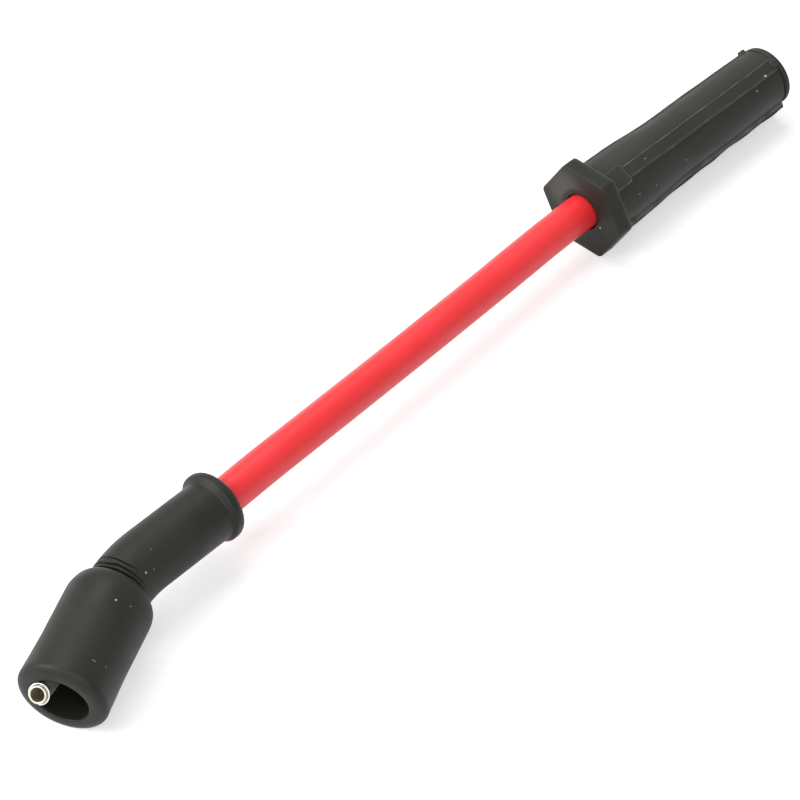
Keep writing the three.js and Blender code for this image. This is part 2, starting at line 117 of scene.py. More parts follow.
def through(knots: Array, at: Array) -> Array:
    """A smooth curve through knots, by their first column.

    Between two knots it is the cubic that has their values and, at each, the slope
    of the chord from the knot before to the knot after.

    Args:
        knots: rows of [place, value, ...], places rising.
        at: places to work the curve out at.

    Returns:
        The values at those places, one row each if there are several.
    """
    place, value = knots[:, 0], knots[:, 1:]
    slope = np.gradient(value, place, axis=0, edge_order=1)
    left = np.clip(np.searchsorted(place, at, side="right") - 1, 0, len(place) - 2)
    gap = (place[left + 1] - place[left])[:, None]
    part = np.clip((at - place[left])[:, None] / gap, 0, 1)
    result = (
        value[left] * (2 * part**3 - 3 * part**2 + 1)
        + slope[left] * gap * (part**3 - 2 * part**2 + part)
        + value[left + 1] * (3 * part**2 - 2 * part**3)
        + slope[left + 1] * gap * (part**3 - part**2)
    )
    return result[:, 0] if result.shape[1] == 1 else result


def bell(offset: Array, width: float, power: int = 2) -> Array:
    """A bell across zero: e to the power of minus (offset over width) to a power."""
    return np.exp(-((offset / width) ** power))


class Wave(Enum):
    """Seeded uneven waves: start of the draws, number of sines, turns of the slowest."""

    CUP_ROUND = (3, 4, 1)
    CUP_ALONG = (4, 4, 1)
    BODY_ROUND = (5, 3, 1)
    BODY_ALONG = (6, 3, 1)
    JACKET_ALONG = (11, 9, 3)
    JACKET_ROUND = (12, 4, 2)
    RIB_SWAY = (20, 7, 2)
    RIB_HEIGHT = (30, 9, 3)
    KNOB_LUMPS = (40, 4, 1)
    BEAD_HEIGHT = (50, 12, 5)
    # unevenness of the highlights painted along ribs and flange
    RIB_HIGHLIGHT = (60, 12, 5)
    FLANGE_HIGHLIGHT = (70, 9, 3)
    RELIEF_SWAY = (80, 4, 2)
    RELIEF_WIDTH = (85, 5, 2)
    FIN_HEIGHT = (90, 6, 2)

    def at(self, phase: Array, number: int = 0) -> Array:
        """The wave of about -1 to 1, which repeats after one full turn.

        It is the sum of sines of first, first + 1 and more turns, each with a drawn
        start, the higher ones weaker.

        Args:
            phase: angle in radians.
            number: added to the start of the draws, so that like pieces differ.

        Returns:
            The wave's value for each phase.
        """
        seed, sines, first = self.value
        starts = np.random.default_rng(seed + number).uniform(0, FULL_TURN, sines)
        turns = np.arange(first, first + sines).reshape(-1, *([1] * np.ndim(phase)))
        waves = np.sin(turns * phase[None] + starts.reshape(turns.shape))
        return (waves / np.sqrt(turns / first)).sum(0) / math.sqrt(sines)


class Way(Enum):
    """How a profile goes on to its next corner."""

    STRAIGHT = "evenly"
    EASED = "evenly along, by a smoothstep in radius"
    ALONG_FIRST = "quarter of an ellipse that leaves along the axis"
    RADIUS_FIRST = "quarter of an ellipse that leaves across the axis"


def outline(start: tuple[float, float], *runs: tuple[float, float, int, Way]) -> Array:
    """Points of a profile from corner to corner.

    On an ellipse, with a from 0 to a right angle, the coordinate that moves first
    goes by sin a, and the other by 1 less cos a.

    Args:
        start: first [along, radius].
        *runs: place along, radius, steps and way of each further corner.

    Returns:
        Points as rows of [along, radius].
    """
    corners = np.array([start] + [run[:2] for run in runs], float)
    points = [corners[:1]]
    for first, last, (_, _, steps, way) in zip(corners, corners[1:], runs):
        even = np.linspace(0, 1, steps + 1)[1:]
        quick, slow = np.sin(even * math.pi / 2), 1 - np.cos(even * math.pi / 2)
        shares = {
            Way.STRAIGHT: (even, even),
            Way.EASED: (even, smoothstep(0, 1, even)),
            Way.ALONG_FIRST: (quick, slow),
            Way.RADIUS_FIRST: (slow, quick),
        }
        points.append(first + (last - first) * np.stack(shares[way], 1))
    return np.concatenate(points)


def bent(points: Array, start: float, length: float, angle: float) -> Array:
    """Bends points drawn along X: straight, then an arc towards Y, then straight.

    A point's distance along X picks its place on the bent line, and its Y is laid
    off across that line, on the inside of the arc where it is positive.

    Args:
        points: points with X, Y and Z in the last axis.
        start: X at which the arc starts.
        length: length of the arc.
        angle: the arc's angle in radians.

    Returns:
        The bent points.
    """
    along, side = points[..., 0], points[..., 1]
    radius = length / angle
    turn = angle * np.clip((along - start) / length, 0, 1)
    before = np.minimum(along, start)
    after = np.maximum(along - start - length, 0)
    result = points.copy()
    result[..., 0] = before + radius * np.sin(turn) + after * np.cos(turn) - side * np.sin(turn)
    result[..., 1] = radius * (1 - np.cos(turn)) + after * np.sin(turn) + side * np.cos(turn)
    return result


def crowded_turn(count: int, crowds: list[tuple[float, float, float]]) -> Array:
    """Angles round a full turn that stand closer together where they are needed.

    The density is 1 plus a bell at each crowd, and the angles cut its running sum
    into equal shares.

    Args:
        count: number of angles.
        crowds: middle in radians, half width in radians and extra density of each.

    Returns:
        Rising angles from 0 up to a full turn, which is left out.
    """
    fine = np.linspace(0, FULL_TURN, 7201)
    density = np.ones_like(fine)
    for middle, width, extra in crowds:
        offset = (fine - middle + math.pi) % FULL_TURN - math.pi
        density += extra * bell(offset, width, 4)
    running = np.concatenate([[0], np.cumsum((density[1:] + density[:-1]) / 2)])
    return np.interp(np.arange(count) / count * running[-1], running, fine)


@dataclass(frozen=True)
class Placing:
    """Where a piece's own axes stand in the row frame.

    Args:
        origin: the piece's own zero, in millimetres.
        axes: its X, Y and Z as rows.
    """

    origin: Array
    axes: Array

    def place(self, points: Array) -> Array:
        """Points in the row frame, in metres."""
        return (self.origin + points @ self.axes) * MM


class Shape:
    """A mesh's points and faces, gathered surface by surface."""

    def __init__(self) -> None:
        """Starts empty."""
        self.points: list[Array] = []
        self.faces: list[Array] = []
        self.count = 0

    def grid(
        self, points: Array, wrap_rows: bool, wrap_columns: bool, flip: bool = False
    ) -> Array:
        """Adds a surface of rows and columns of points.

        Args:
            points: rows by columns by three.
            wrap_rows: whether the last row meets the first.
            wrap_columns: whether the last column meets the first.
            flip: turns the faces round.

        Returns:
            The index of each point, rows by columns.
        """
        rows, columns = points.shape[:2]
        index = np.arange(rows * columns).reshape(rows, columns) + self.count
        self.points.append(points.reshape(-1, 3))
        self.count += rows * columns
        wide = np.vstack([index, index[:1]]) if wrap_rows else index
        wide = np.hstack([wide, wide[:, :1]]) if wrap_columns else wide
        corners = [wide[:-1, :-1], wide[1:, :-1], wide[1:, 1:], wide[:-1, 1:]]
        if flip:
            corners.reverse()
        self.faces.append(np.stack(corners, -1).reshape(-1, 4))
        return index

    def strip(self, first: Array, second: Array) -> None:
        """Adds faces between two lines of points that are in the mesh already."""
        self.faces.append(np.stack([first[:-1], second[:-1], second[1:], first[1:]], -1))

    def cap(self, rim: Array, centre: Array, flip: bool) -> None:
        """Closes a ring of points with a fan of triangles round its centre.

        A triangle is kept as a face whose last corner is named twice.

        Args:
            rim: indices of the ring's points.
            centre: place of the fan's middle.
            flip: turns the faces round.
        """
        self.points.append(centre.reshape(1, 3))
        middle = np.full(len(rim), self.count)
        self.count += 1
        fan = [rim, np.roll(rim, -1), middle, middle]
        if flip:
            fan[0], fan[1] = fan[1], fan[0]
        self.faces.append(np.stack(fan, -1))

    def mesh(self, name: str) -> bpy.types.Mesh:
        """Makes the smooth-shaded mesh, with its faces turned outwards.

        The faces are turned round if the volume inside them, which is the sum of each
        first corner times the cross product of the next two, comes out below zero.

        Args:
            name: the mesh's name.

        Returns:
            The Blender mesh.
        """
        points = np.concatenate(self.points)
        faces = np.concatenate(self.faces)
        first, second, third, fourth = (points[faces[:, corner]] for corner in range(4))
        volume = np.cross(second, third) + np.cross(third, fourth)
        triangle = faces[:, 2] == faces[:, 3]
        if (first * volume).sum() < 0:
            faces = faces[:, ::-1]
            faces = np.where(triangle[:, None], np.roll(faces, -2, axis=1), faces)
        sizes = np.where(triangle, 3, 4)
        corners = faces.ravel()[(np.arange(4)[None] < sizes[:, None]).ravel()]
        starts = np.concatenate([[0], np.cumsum(sizes)[:-1]])
        mesh = bpy.data.meshes.new(name)
        mesh.vertices.add(len(points))
        mesh.loops.add(len(corners))
        mesh.polygons.add(len(faces))
        mesh.vertices.foreach_set("co", points.astype(np.float32).ravel())
        mesh.loops.foreach_set("vertex_index", corners.astype(np.int32))
        mesh.polygons.foreach_set("loop_start", starts.astype(np.int32))
        mesh.polygons.foreach_set("loop_total", sizes.astype(np.int32))
        mesh.polygons.foreach_set("use_smooth", np.ones(len(faces), bool))
        mesh.update(calc_edges=True)
        mesh.validate()
        return mesh


def lathe_points(along: Array, radius: Array, turn: Array) -> Array:
    """Points round X: turn 0 is up, along Z, and a quarter turn is towards -Y.

    Args:
        along: place along X.
        radius: distance from X.
        turn: angle in radians.

    Returns:
        The points, with X, Y and Z in the last axis.
    """
    return np.stack(
        np.broadcast_arrays(along, -radius * np.sin(turn), radius * np.cos(turn)), -1
    )


def mark_painted_light(mesh: bpy.types.Mesh, share: Array) -> None:
    """Keeps the share of painted highlight at each of a mesh's points, for its material."""
    layer = mesh.attributes.new(name=PAINTED_LIGHT, type="FLOAT", domain="POINT")
    layer.data.foreach_set("value", share.astype(np.float32).ravel())


def put_in_scene(mesh: bpy.types.Mesh, node: str, finish: "Finish") -> bpy.types.Object:
    """Puts a mesh in the scene in place of its CAD node, riding on the root body.

    Args:
        mesh: the finished mesh, in the row frame.
        node: the CAD node that it stands for.
        finish: what it is made of.

    Returns:
        The new object.
    """
    piece = bpy.data.objects.new(mesh.name, mesh)
    bpy.context.scene.collection.objects.link(piece)
    mesh.materials.append(finish.material())
    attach(piece, "root")
    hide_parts(node)
    return piece


# Materials


class Effect(Enum):
    """Node groups that several materials share."""

    GRAIN = "moulded_grain"
    SPECKS = "dust_specks"
    SCUFFS = "short_scuffs"
    SPOT = "placed_spot"
    TINT = "layered_tint"


class Wiring:
    """Adds nodes to one tree and joins their sockets."""

    def __init__(self, tree: bpy.types.NodeTree) -> None:
        """Keeps the tree and clears it."""
        self.tree = tree
        tree.nodes.clear()

    def node(self, kind: str, settings: dict | None = None, **inputs: object) -> bpy.types.Node:
        """Adds a node.

        Args:
            kind: the node's type name.
            settings: its own properties.
            **inputs: a value or a socket for each input, by name with _ for a space,
                or by number after in_.

        Returns:
            The node.
        """
        made = self.tree.nodes.new(kind)
        for name, value in (settings or {}).items():
            setattr(made, name, value)
        for name, value in inputs.items():
            key = int(name[3:]) if name[:3] == "in_" else name.replace("_", " ")
            self.feed(made.inputs[key], value)
        return made

    def feed(self, socket: bpy.types.NodeSocket, value: object) -> None:
        """Links a socket to an input, or sets the input's value.

        Args:
            socket: the input.
            value: a socket, a colour or another value.
        """
        if isinstance(value, bpy.types.NodeSocket):
            self.tree.links.new(value, socket)
        elif isinstance(value, tuple) and socket.type == "RGBA":
            socket.default_value = (*value, 1)
        else:
            socket.default_value = value

    def maths(self, operation: str, *values: object) -> bpy.types.NodeSocket:
        """Adds a Math node.

        Args:
            operation: what it works out.
            *values: a value or a socket for each of its inputs.

        Returns:
            Its result.
        """
        made = self.node("ShaderNodeMath", {"operation": operation})
        for socket, value in zip(made.inputs, values):
            self.feed(socket, value)
        return made.outputs[0]

    def mixed(self, share: object, first: object, second: object) -> bpy.types.NodeSocket:
        """Mixes two colours.

        Args:
            share: of the second colour.
            first: the first colour.
            second: the second colour.

        Returns:
            The mixed colour.
        """
        made = self.node("ShaderNodeMix", {"data_type": "RGBA"})
        for number, value in ((0, share), (6, first), (7, second)):
            self.feed(made.inputs[number], value)
        return made.outputs[2]

    def ranged(
        self, value: object, source: tuple[float, float], target: tuple[float, float]
    ) -> bpy.types.NodeSocket:
        """Maps a value by a smoothstep from one range to another.

        Args:
            value: the value.
            source: its own range.
            target: the range that it is mapped to.

        Returns:
            The mapped value, which stays inside the target range.
        """
        made = self.node("ShaderNodeMapRange", {"interpolation_type": "SMOOTHSTEP"})
        for number, given in enumerate((value, *source, *target)):
            self.feed(made.inputs[number], given)
        return made.outputs[0]

    def noise(
        self, place: object, scale: object, detail: float = 2.0, roughness: float = 0.5
    ) -> bpy.types.Node:
        """Adds a noise texture.

        Args:
            place: where it is looked up.
            scale: waves to the metre.
            detail: number of finer layers.
            roughness: share of each layer in the next.

        Returns:
            The node.
        """
        return self.node(
            "ShaderNodeTexNoise", Vector=place, Scale=scale, Detail=detail, Roughness=roughness
        )

    def effect(self, effect: Effect, **inputs: object) -> bpy.types.Node:
        """Places a shared node group with its own values."""
        tree = bpy.data.node_groups[effect.value]
        return self.node("ShaderNodeGroup", {"node_tree": tree}, **inputs)


def new_group(
    effect: Effect, inputs: dict[str, tuple[str, object]], outputs: dict[str, str]
) -> tuple[Wiring, bpy.types.Node, bpy.types.Node]:
    """Makes an empty node group with named sockets.

    Args:
        effect: which group it is.
        inputs: socket type and first value of each input.
        outputs: socket type of each output.

    Returns:
        The wiring of the group, its input node and its output node.
    """
    tree = bpy.data.node_groups.new(effect.value, "ShaderNodeTree")
    wiring = Wiring(tree)
    for name, (kind, value) in inputs.items():
        socket = tree.interface.new_socket(name, in_out="INPUT", socket_type=kind)
        if value is not None:
            socket.default_value = value
    for name, kind in outputs.items():
        tree.interface.new_socket(name, in_out="OUTPUT", socket_type=kind)
    return wiring, wiring.node("NodeGroupInput"), wiring.node("NodeGroupOutput")


FLOAT, VECTOR, COLOUR = "NodeSocketFloat", "NodeSocketVector", "NodeSocketColor"


def grain_group() -> None:
    """Builds the grain that a mould leaves.

    Height is fine noise with a little coarse noise in it, and Cloud is a broad one.
    """
    wiring, given, result = new_group(
        Effect.GRAIN,
        {"Vector": (VECTOR, None), "Fine": (FLOAT, 3000.0), "Broad": (FLOAT, 60.0)},
        {"Height": FLOAT, "Cloud": FLOAT},
    )
    place, fine_scale, broad_scale = given.outputs[:3]
    fine = wiring.noise(place, fine_scale, 3.0, 0.6)
    broad = wiring.noise(place, broad_scale, 4.0, 0.55)
    coarse = wiring.maths("MULTIPLY", broad.outputs[0], 0.5)
    wiring.feed(result.inputs[0], wiring.maths("ADD", fine.outputs[0], coarse))
    wiring.feed(result.inputs[1], wiring.ranged(broad.outputs[0], (0.35, 0.65), (0.0, 1.0)))


def specks_group() -> None:
    """Builds sparse round specks of dust.

    Space is cut into cells, a share of them holds a speck, and the mask is 1 nearer
    than its radius to the cell's point.
    """
    wiring, given, result = new_group(
        Effect.SPECKS,
        {
            "Vector": (VECTOR, None),
            "Scale": (FLOAT, 300.0),
            "Share": (FLOAT, 0.05),
            "Radius": (FLOAT, 0.08),
        },
        {"Mask": FLOAT},
    )
    place, scale, share, radius = given.outputs[:4]
    cells = wiring.node("ShaderNodeTexVoronoi", Vector=place, Scale=scale)
    drawn = wiring.node("ShaderNodeSeparateColor", Color=cells.outputs[1])
    held = wiring.maths("LESS_THAN", drawn.outputs[0], share)
    size = wiring.maths("MULTIPLY", radius, wiring.maths("ADD", drawn.outputs[1], 0.35))
    near = wiring.maths("SUBTRACT", 1.0, wiring.maths("DIVIDE", cells.outputs[0], size))
    soft = wiring.ranged(near, (0.0, 0.5), (0.0, 1.0))
    wiring.feed(result.inputs[0], wiring.maths("MULTIPLY", held, soft))


def scuffs_group() -> None:
    """Builds short light scuffs: specks in a space that is drawn out one way."""
    wiring, given, result = new_group(
        Effect.SCUFFS,
        {"Vector": (VECTOR, None), "Scale": (FLOAT, 200.0), "Share": (FLOAT, 0.04)},
        {"Mask": FLOAT},
    )
    place, scale, share = given.outputs[:3]
    wobble = wiring.noise(place, 120.0).outputs[1]
    shift = wiring.node("ShaderNodeVectorMath", {"operation": "SCALE"}, in_0=wobble, Scale=0.004)
    moved = wiring.node(
        "ShaderNodeVectorMath", {"operation": "ADD"}, in_0=place, in_1=shift.outputs[0]
    )
    drawn_out = wiring.node(
        "ShaderNodeMapping", Vector=moved.outputs[0], Rotation=(0.4, 0.7, 0.9), Scale=(0.22, 1.0, 0.8)
    )
    specks = wiring.effect(
        Effect.SPECKS, Vector=drawn_out.outputs[0], Scale=scale, Share=share, Radius=0.16
    )
    wiring.feed(result.inputs[0], specks.outputs[0])


def spot_group() -> None:
    """Builds one spot: 1 at its place, and 0 from its radius on."""
    wiring, given, result = new_group(
        Effect.SPOT,
        {"Vector": (VECTOR, None), "Place": (VECTOR, None), "Radius": (FLOAT, 0.0003)},
        {"Mask": FLOAT},
    )
    point, place, radius = given.outputs[:3]
    away = wiring.node("ShaderNodeVectorMath", {"operation": "DISTANCE"}, in_0=point, in_1=place)
    share = wiring.maths("DIVIDE", away.outputs["Value"], radius)
    wiring.feed(result.inputs[0], wiring.ranged(share, (0.6, 1.0), (1.0, 0.0)))


def tint_group() -> None:
    """Builds a base colour with a second one over it by Cloud, and dust over both."""
    wiring, given, result = new_group(
        Effect.TINT,
        {
            "Base": (COLOUR, (0.5, 0.5, 0.5, 1)),
            "Second": (COLOUR, (0.5, 0.5, 0.5, 1)),
            "Dust": (COLOUR, (0.5, 0.5, 0.5, 1)),
            "Cloud": (FLOAT, 0.0),
            "Dust mask": (FLOAT, 0.0),
        },
        {"Color": COLOUR},
    )
    base, second, dust, cloud, dust_mask = given.outputs[:5]
    clouded = wiring.mixed(cloud, base, second)
    wiring.feed(result.inputs[0], wiring.mixed(dust_mask, clouded, dust))


@dataclass(frozen=True)
class Finish:
    """What every finish has, and a material that is made once.

    Args:
        name: the material's name.
        roughness: where the grain's cloud is 0, and where it is 1.
        grain_depth: height of the bumps, in metres.
    """

    name: str
    roughness: tuple[float, float] = (0.4, 0.5)
    grain_depth: float = 0.02 * MM

    def material(self) -> bpy.types.Material:
        """The finish's material, made on the first call.

        Returns:
            The material, with the finish's nodes joined to its shader.
        """
        found = bpy.data.materials.get(self.name)
        if found:
            return found
        made = bpy.data.materials.new(self.name)
        made.use_nodes = True
        wiring = Wiring(made.node_tree)
        shader = wiring.node("ShaderNodeBsdfPrincipled")
        output = wiring.node("ShaderNodeOutputMaterial")
        wiring.feed(output.inputs["Surface"], shader.outputs[0])
        self.wire(wiring, shader)
        return made

    def wire(self, wiring: Wiring, shader: bpy.types.Node) -> None:
        """Joins the finish's own nodes to the shader."""
        raise NotImplementedError

    def coat(
        self,
        wiring: Wiring,
        shader: bpy.types.Node,
        colour: bpy.types.Node,
        grain: bpy.types.Node,
        height: bpy.types.NodeSocket,
        strength: float,
    ) -> None:
        """Joins colour, roughness and bumps to the shader.

        Args:
            wiring: of the material's tree.
            shader: the material's shader.
            colour: the placed tint.
            grain: the placed grain, whose cloud gives the roughness.
            height: height of the bumps, from 0 to about 1.
            strength: share of the bumps that is used.
        """
        rough = wiring.ranged(grain.outputs[1], (0.0, 1.0), self.roughness)
        bump = wiring.node(
            "ShaderNodeBump", Strength=strength, Distance=self.grain_depth, Height=height
        )
        for name, value in (
            ("Base Color", colour.outputs[0]),
            ("Roughness", rough),
            ("Normal", bump.outputs[0]),
        ):
            wiring.feed(shader.inputs[name], value)


@dataclass(frozen=True)
class RubberFinish(Finish):
    """Moulded boot rubber: dark, satin and cloudy, with dust and scuffs, and highlights painted on
    it.

    Args:
        base: its colour.
        second: its colour in the clouds.
        dust: colour of dust, scuffs and spots.
        painted_light_colour: colour of the painted highlights, towards which the mesh's painted-light
            share turns it.
        specular: level of the shader's mirror-like part.
        spots: place and radius of each single speck that the photo shows.
        fine: scale of the fine grain.
        broad: scale of the clouds.
    """

    base: Colour = (0.0094, 0.0106, 0.0077)
    second: Colour = (0.0148, 0.0158, 0.0118)
    dust: Colour = (0.34, 0.35, 0.33)
    # colour of the highlights painted on edges, on the flange face and on the upper side
    painted_light_colour: Colour = (0.155, 0.155, 0.13)
    roughness: tuple[float, float] = (0.44, 0.56)
    specular: float = 0.24
    spots: tuple[tuple[float, float, float, float], ...] = (
        (138.3, 3.4, 18.2, 0.3),
        (92.3, 5.0, 21.9, 0.24),
        (92.2, 0.5, 14.9, 0.22),
        (85.5, 0.7, 16.1, 0.22),
        (106, 1.3, 14.8, 0.18),
        (72.3, 3.3, 10.8, 0.42),
        (-121.2, -9, 24.9, 0.36),
        (-107.7, -5.4, 21.4, 0.36),
        (-136.9, -17.6, 22, 0.2),
        (-137.2, -17.2, 22.4, 0.18),
        (-135.1, -19.4, 19.8, 0.18),
        (-102.5, -2, 23.4, 0.17),
        (-105.1, -5.5, 20.7, 0.16),
    )
    grain_depth: float = 0.03 * MM
    fine: float = 2600.0
    broad: float = 55.0
    speck_scale: float = 210.0
    speck_share: float = 0.03
    speck_radius: float = 0.09
    scuff_scale: float = 150.0
    scuff_share: float = 0.012
    scuff_strength: float = 0.35
    # how far the painted highlights turn the colour
    painted_light_strength: float = 0.8

    def wire(self, wiring: Wiring, shader: bpy.types.Node) -> None:
        """Joins grain, cloud, painted highlights, dust, scuffs and spots to the shader.

        Args:
            wiring: of the material's tree.
            shader: the material's shader.
        """
        place = wiring.node("ShaderNodeTexCoord").outputs["Object"]
        grain = wiring.effect(Effect.GRAIN, Vector=place, Fine=self.fine, Broad=self.broad)
        specks = wiring.effect(
            Effect.SPECKS,
            Vector=place,
            Scale=self.speck_scale,
            Share=self.speck_share,
            Radius=self.speck_radius,
        )
        scuffs = wiring.effect(
            Effect.SCUFFS, Vector=place, Scale=self.scuff_scale, Share=self.scuff_share
        )
        faint = wiring.maths("MULTIPLY", scuffs.outputs[0], self.scuff_strength)
        marks = wiring.maths("MAXIMUM", specks.outputs[0], faint)
        for *spot, radius in self.spots:
            middle = tuple(value * MM for value in spot)
            dot = wiring.effect(Effect.SPOT, Vector=place, Place=middle, Radius=radius * MM)
            marks = wiring.maths("MAXIMUM", marks, dot.outputs[0])
        # painted highlights: the mesh's share turns the colour towards a light one
        painted_light = wiring.node("ShaderNodeAttribute", {"attribute_name": PAINTED_LIGHT}).outputs["Fac"]
        colour = wiring.effect(
            Effect.TINT,
            Base=wiring.mixed(grain.outputs[1], self.base, self.second),
            Second=self.painted_light_colour,
            Dust=self.dust,
            Cloud=wiring.maths("MULTIPLY", painted_light, self.painted_light_strength),
            Dust_mask=marks,
        )
        shader.inputs["Specular IOR Level"].default_value = self.specular
        self.coat(wiring, shader, colour, grain, grain.outputs[0], 0.6)


@dataclass(frozen=True)
class SiliconeFinish(Finish):
    """Extruded silicone: even red, satin, with faint lines along it."""

    base: Colour = (0.74, 0.019, 0.025)
    second: Colour = (0.78, 0.024, 0.031)
    dust: Colour = (0.85, 0.35, 0.34)
    roughness: tuple[float, float] = (0.33, 0.41)
    grain_depth: float = 0.02 * MM

    def wire(self, wiring: Wiring, shader: bpy.types.Node) -> None:
        """Joins grain, streaks and dust to the shader.

        Args:
            wiring: of the material's tree.
            shader: the material's shader.
        """
        texture = wiring.node("ShaderNodeTexCoord")
        place, unwrapped = texture.outputs["Object"], texture.outputs["UV"]
        grain = wiring.effect(Effect.GRAIN, Vector=place, Fine=1800.0, Broad=45.0)
        drawn_out = wiring.node("ShaderNodeMapping", Vector=unwrapped, Scale=(60.0, 1.5, 1.0))
        streaks = wiring.noise(drawn_out.outputs[0], 1.0)
        specks = wiring.effect(Effect.SPECKS, Vector=place, Scale=190.0, Share=0.012, Radius=0.07)
        colour = wiring.effect(
            Effect.TINT,
            Base=self.base,
            Second=self.second,
            Dust=self.dust,
            Cloud=grain.outputs[1],
            Dust_mask=wiring.maths("MULTIPLY", specks.outputs[0], 0.5),
        )
        lines = wiring.maths("MULTIPLY", streaks.outputs[0], 0.8)
        height = wiring.maths("ADD", grain.outputs[0], lines)
        self.coat(wiring, shader, colour, grain, height, 0.5)


@dataclass(frozen=True)
class MetalFinish(Finish):
    """Plated sheet or drawn wire: bright, with fine marks and a little tarnish."""

    base: Colour = (0.66, 0.61, 0.51)
    second: Colour = (0.44, 0.39, 0.3)
    roughness: tuple[float, float] = (0.3, 0.46)
    metallic: float = 0.88
    grain_depth: float = 0.015 * MM

    def wire(self, wiring: Wiring, shader: bpy.types.Node) -> None:
        """Joins tarnish and fine marks to the shader.

        Args:
            wiring: of the material's tree.
            shader: the material's shader.
        """
        place = wiring.node("ShaderNodeTexCoord").outputs["Object"]
        grain = wiring.effect(Effect.GRAIN, Vector=place, Fine=3500.0, Broad=260.0)
        colour = wiring.effect(
            Effect.TINT,
            Base=self.base,
            Second=self.second,
            Dust=self.second,
            Cloud=wiring.maths("MULTIPLY", grain.outputs[1], 0.6),
        )
        shader.inputs["Metallic"].default_value = self.metallic
        self.coat(wiring, shader, colour, grain, grain.outputs[0], 0.5)


RUBBER = RubberFinish("moulded_boot_rubber")
SILICONE = SiliconeFinish("extruded_red_silicone")
PLATED = MetalFinish("plated_sheet")
SPRING = MetalFinish("drawn_spring_wire", base=(0.82, 0.81, 0.78), second=(0.62, 0.6, 0.55))


# The lead


@dataclass
class IgnitionWire:
    """The red wire, from its crimp in the plug boot to its crimp in the coil boot.

    Args:
        diameter: over the jacket.
        route: its middle line, from the flange face's centre.
        inside: how far its surface stays inside that of a true tube.
        uneven_along: height of its wave along the wire.
        uneven_round: height of its wave round the wire.
        sides: points round it.
        rows: points along it.
        path_step: how many of these rows one step of the cord's path takes; not used.
    """

    diameter: float = 10.2
    route: tuple[tuple[float, float, float], ...] = (
        (25, 0, 0),
        (12, 0, 0),
        (1, 0, 0),
        (-12, -0.2, 0.03),
        (-26, -0.9, 0.12),
        (-40, -1.65, 0.24),
        (-55, -2.4, 0.42),
        (-70, -3.15, 0.64),
        (-85, -3.85, 0.92),
        (-100, -4.55, 1.24),
        (-115, -5.25, 1.6),
        (-130, -6.0, 2.0),
        (-144, -6.95, 2.4),
        (-158.3, -7.86, 2.85),
        (-172.1, -8.37, 3.3),
    )
    inside: float = 0.04
    uneven_along: float = 0.03
    uneven_round: float = 0.02
    sides: int = 72
    rows: int = 320
    path_step: int = 8

    def knots(self) -> Array:
        """The route's points as rows."""
        return np.array(self.route, float)

    def centreline(self) -> Array:
        """The smooth line through the route, by distance along its chords.

        Returns:
            Its points as rows.
        """
        knots = self.knots()
        chord = np.concatenate([[0], np.cumsum(np.linalg.norm(np.diff(knots, axis=0), axis=1))])
        return through(np.column_stack([chord, knots]), np.linspace(0, chord[-1], self.rows))

    def build(self, placing: Placing) -> bpy.types.Object:
        """Its surface is the centreline plus a circle across it. The circle's radius
        has an uneven wave of a few hundredths of a millimetre, as extrusion leaves.

        Args:
            placing: the plug boot's axes.

        Returns:
            The wire.
        """
        line = self.centreline()
        tangent = np.gradient(line, axis=0)
        tangent /= np.linalg.norm(tangent, axis=1, keepdims=True)
        side = np.cross((0, 0, 1), tangent)
        side /= np.linalg.norm(side, axis=1, keepdims=True)
        up = np.cross(tangent, side)
        turn = np.linspace(0, FULL_TURN, self.sides, endpoint=False)
        along = np.linspace(0, 1, self.rows)
        uneven = self.uneven_along * Wave.JACKET_ALONG.at(along * math.pi)[:, None]
        uneven = uneven + self.uneven_round * Wave.JACKET_ROUND.at(turn)[None]
        radius = (self.diameter / 2 - self.inside + uneven)[..., None]
        aside, upright = np.sin(turn)[None, :, None], np.cos(turn)[None, :, None]
        across = side[:, None] * aside + up[:, None] * upright
        shape = Shape()
        index = shape.grid(placing.place(line[:, None] + radius * across), False, True)
        ends = placing.place(line[[0, -1]])
        shape.cap(index[0], ends[0], False)
        shape.cap(index[-1], ends[1], True)
        mesh = shape.mesh("silicone_jacket")
        self.unwrap(mesh)
        piece = put_in_scene(mesh, "ignition_wire", SILICONE)
        path = placing.place(line)
        tuple(placing.place(np.zeros(3)))
        return piece

    def unwrap(self, mesh: bpy.types.Mesh) -> None:
        """Lays a UV map on the wire: U is the share of the turn, V of the length.

        A face that spans the end of the turn gets U above 1 instead of near 0.

        Args:
            mesh: the wire's mesh.
        """
        corner = np.zeros(len(mesh.loops), np.int32)
        mesh.loops.foreach_get("vertex_index", corner)
        column = (corner % self.sides) / self.sides
        row = np.minimum(corner // self.sides, self.rows) / self.rows
        starts = np.zeros(len(mesh.polygons), np.int32)
        totals = np.zeros(len(mesh.polygons), np.int32)
        mesh.polygons.foreach_get("loop_start", starts)
        mesh.polygons.foreach_get("loop_total", totals)
        face = np.repeat(np.arange(len(starts)), totals)
        highest = np.zeros(len(starts))
        np.maximum.at(highest, face, column)
        spans_end = (highest[face] > 0.9) & (column < 0.1)
        column = np.where(spans_end, column + 1, column)
        layer = mesh.uv_layers.new(name="around_and_along")
        layer.uv.foreach_set("vector", np.column_stack([column, row]).astype(np.float32).ravel())


@dataclass(frozen=True)
class Rib:
    """One of the plug boot's ribs.

    Args:
        degrees: its turn from the top.
        height: over the body.
        pad_radius: of its pad at the flange, or 0 where it has none.
        flash: height of the thin fin of flash on its middle.
    """

    degrees: float
    height: float
    pad_radius: float
    flash: float = 0.0


@dataclass(frozen=True)
class EdgeHighlight:
    """A highlight painted as a light line along an edge.

    Args:
        inside: how far its middle is inside the edge.
        width: its half width.
        share: how light its middle is painted.
    """

    inside: float
    width: float
    share: float

    def at(self, past_edge: Array) -> Array:
        """The painted highlight's share by the distance past the edge."""
        return self.share * bell(past_edge + self.inside, self.width)


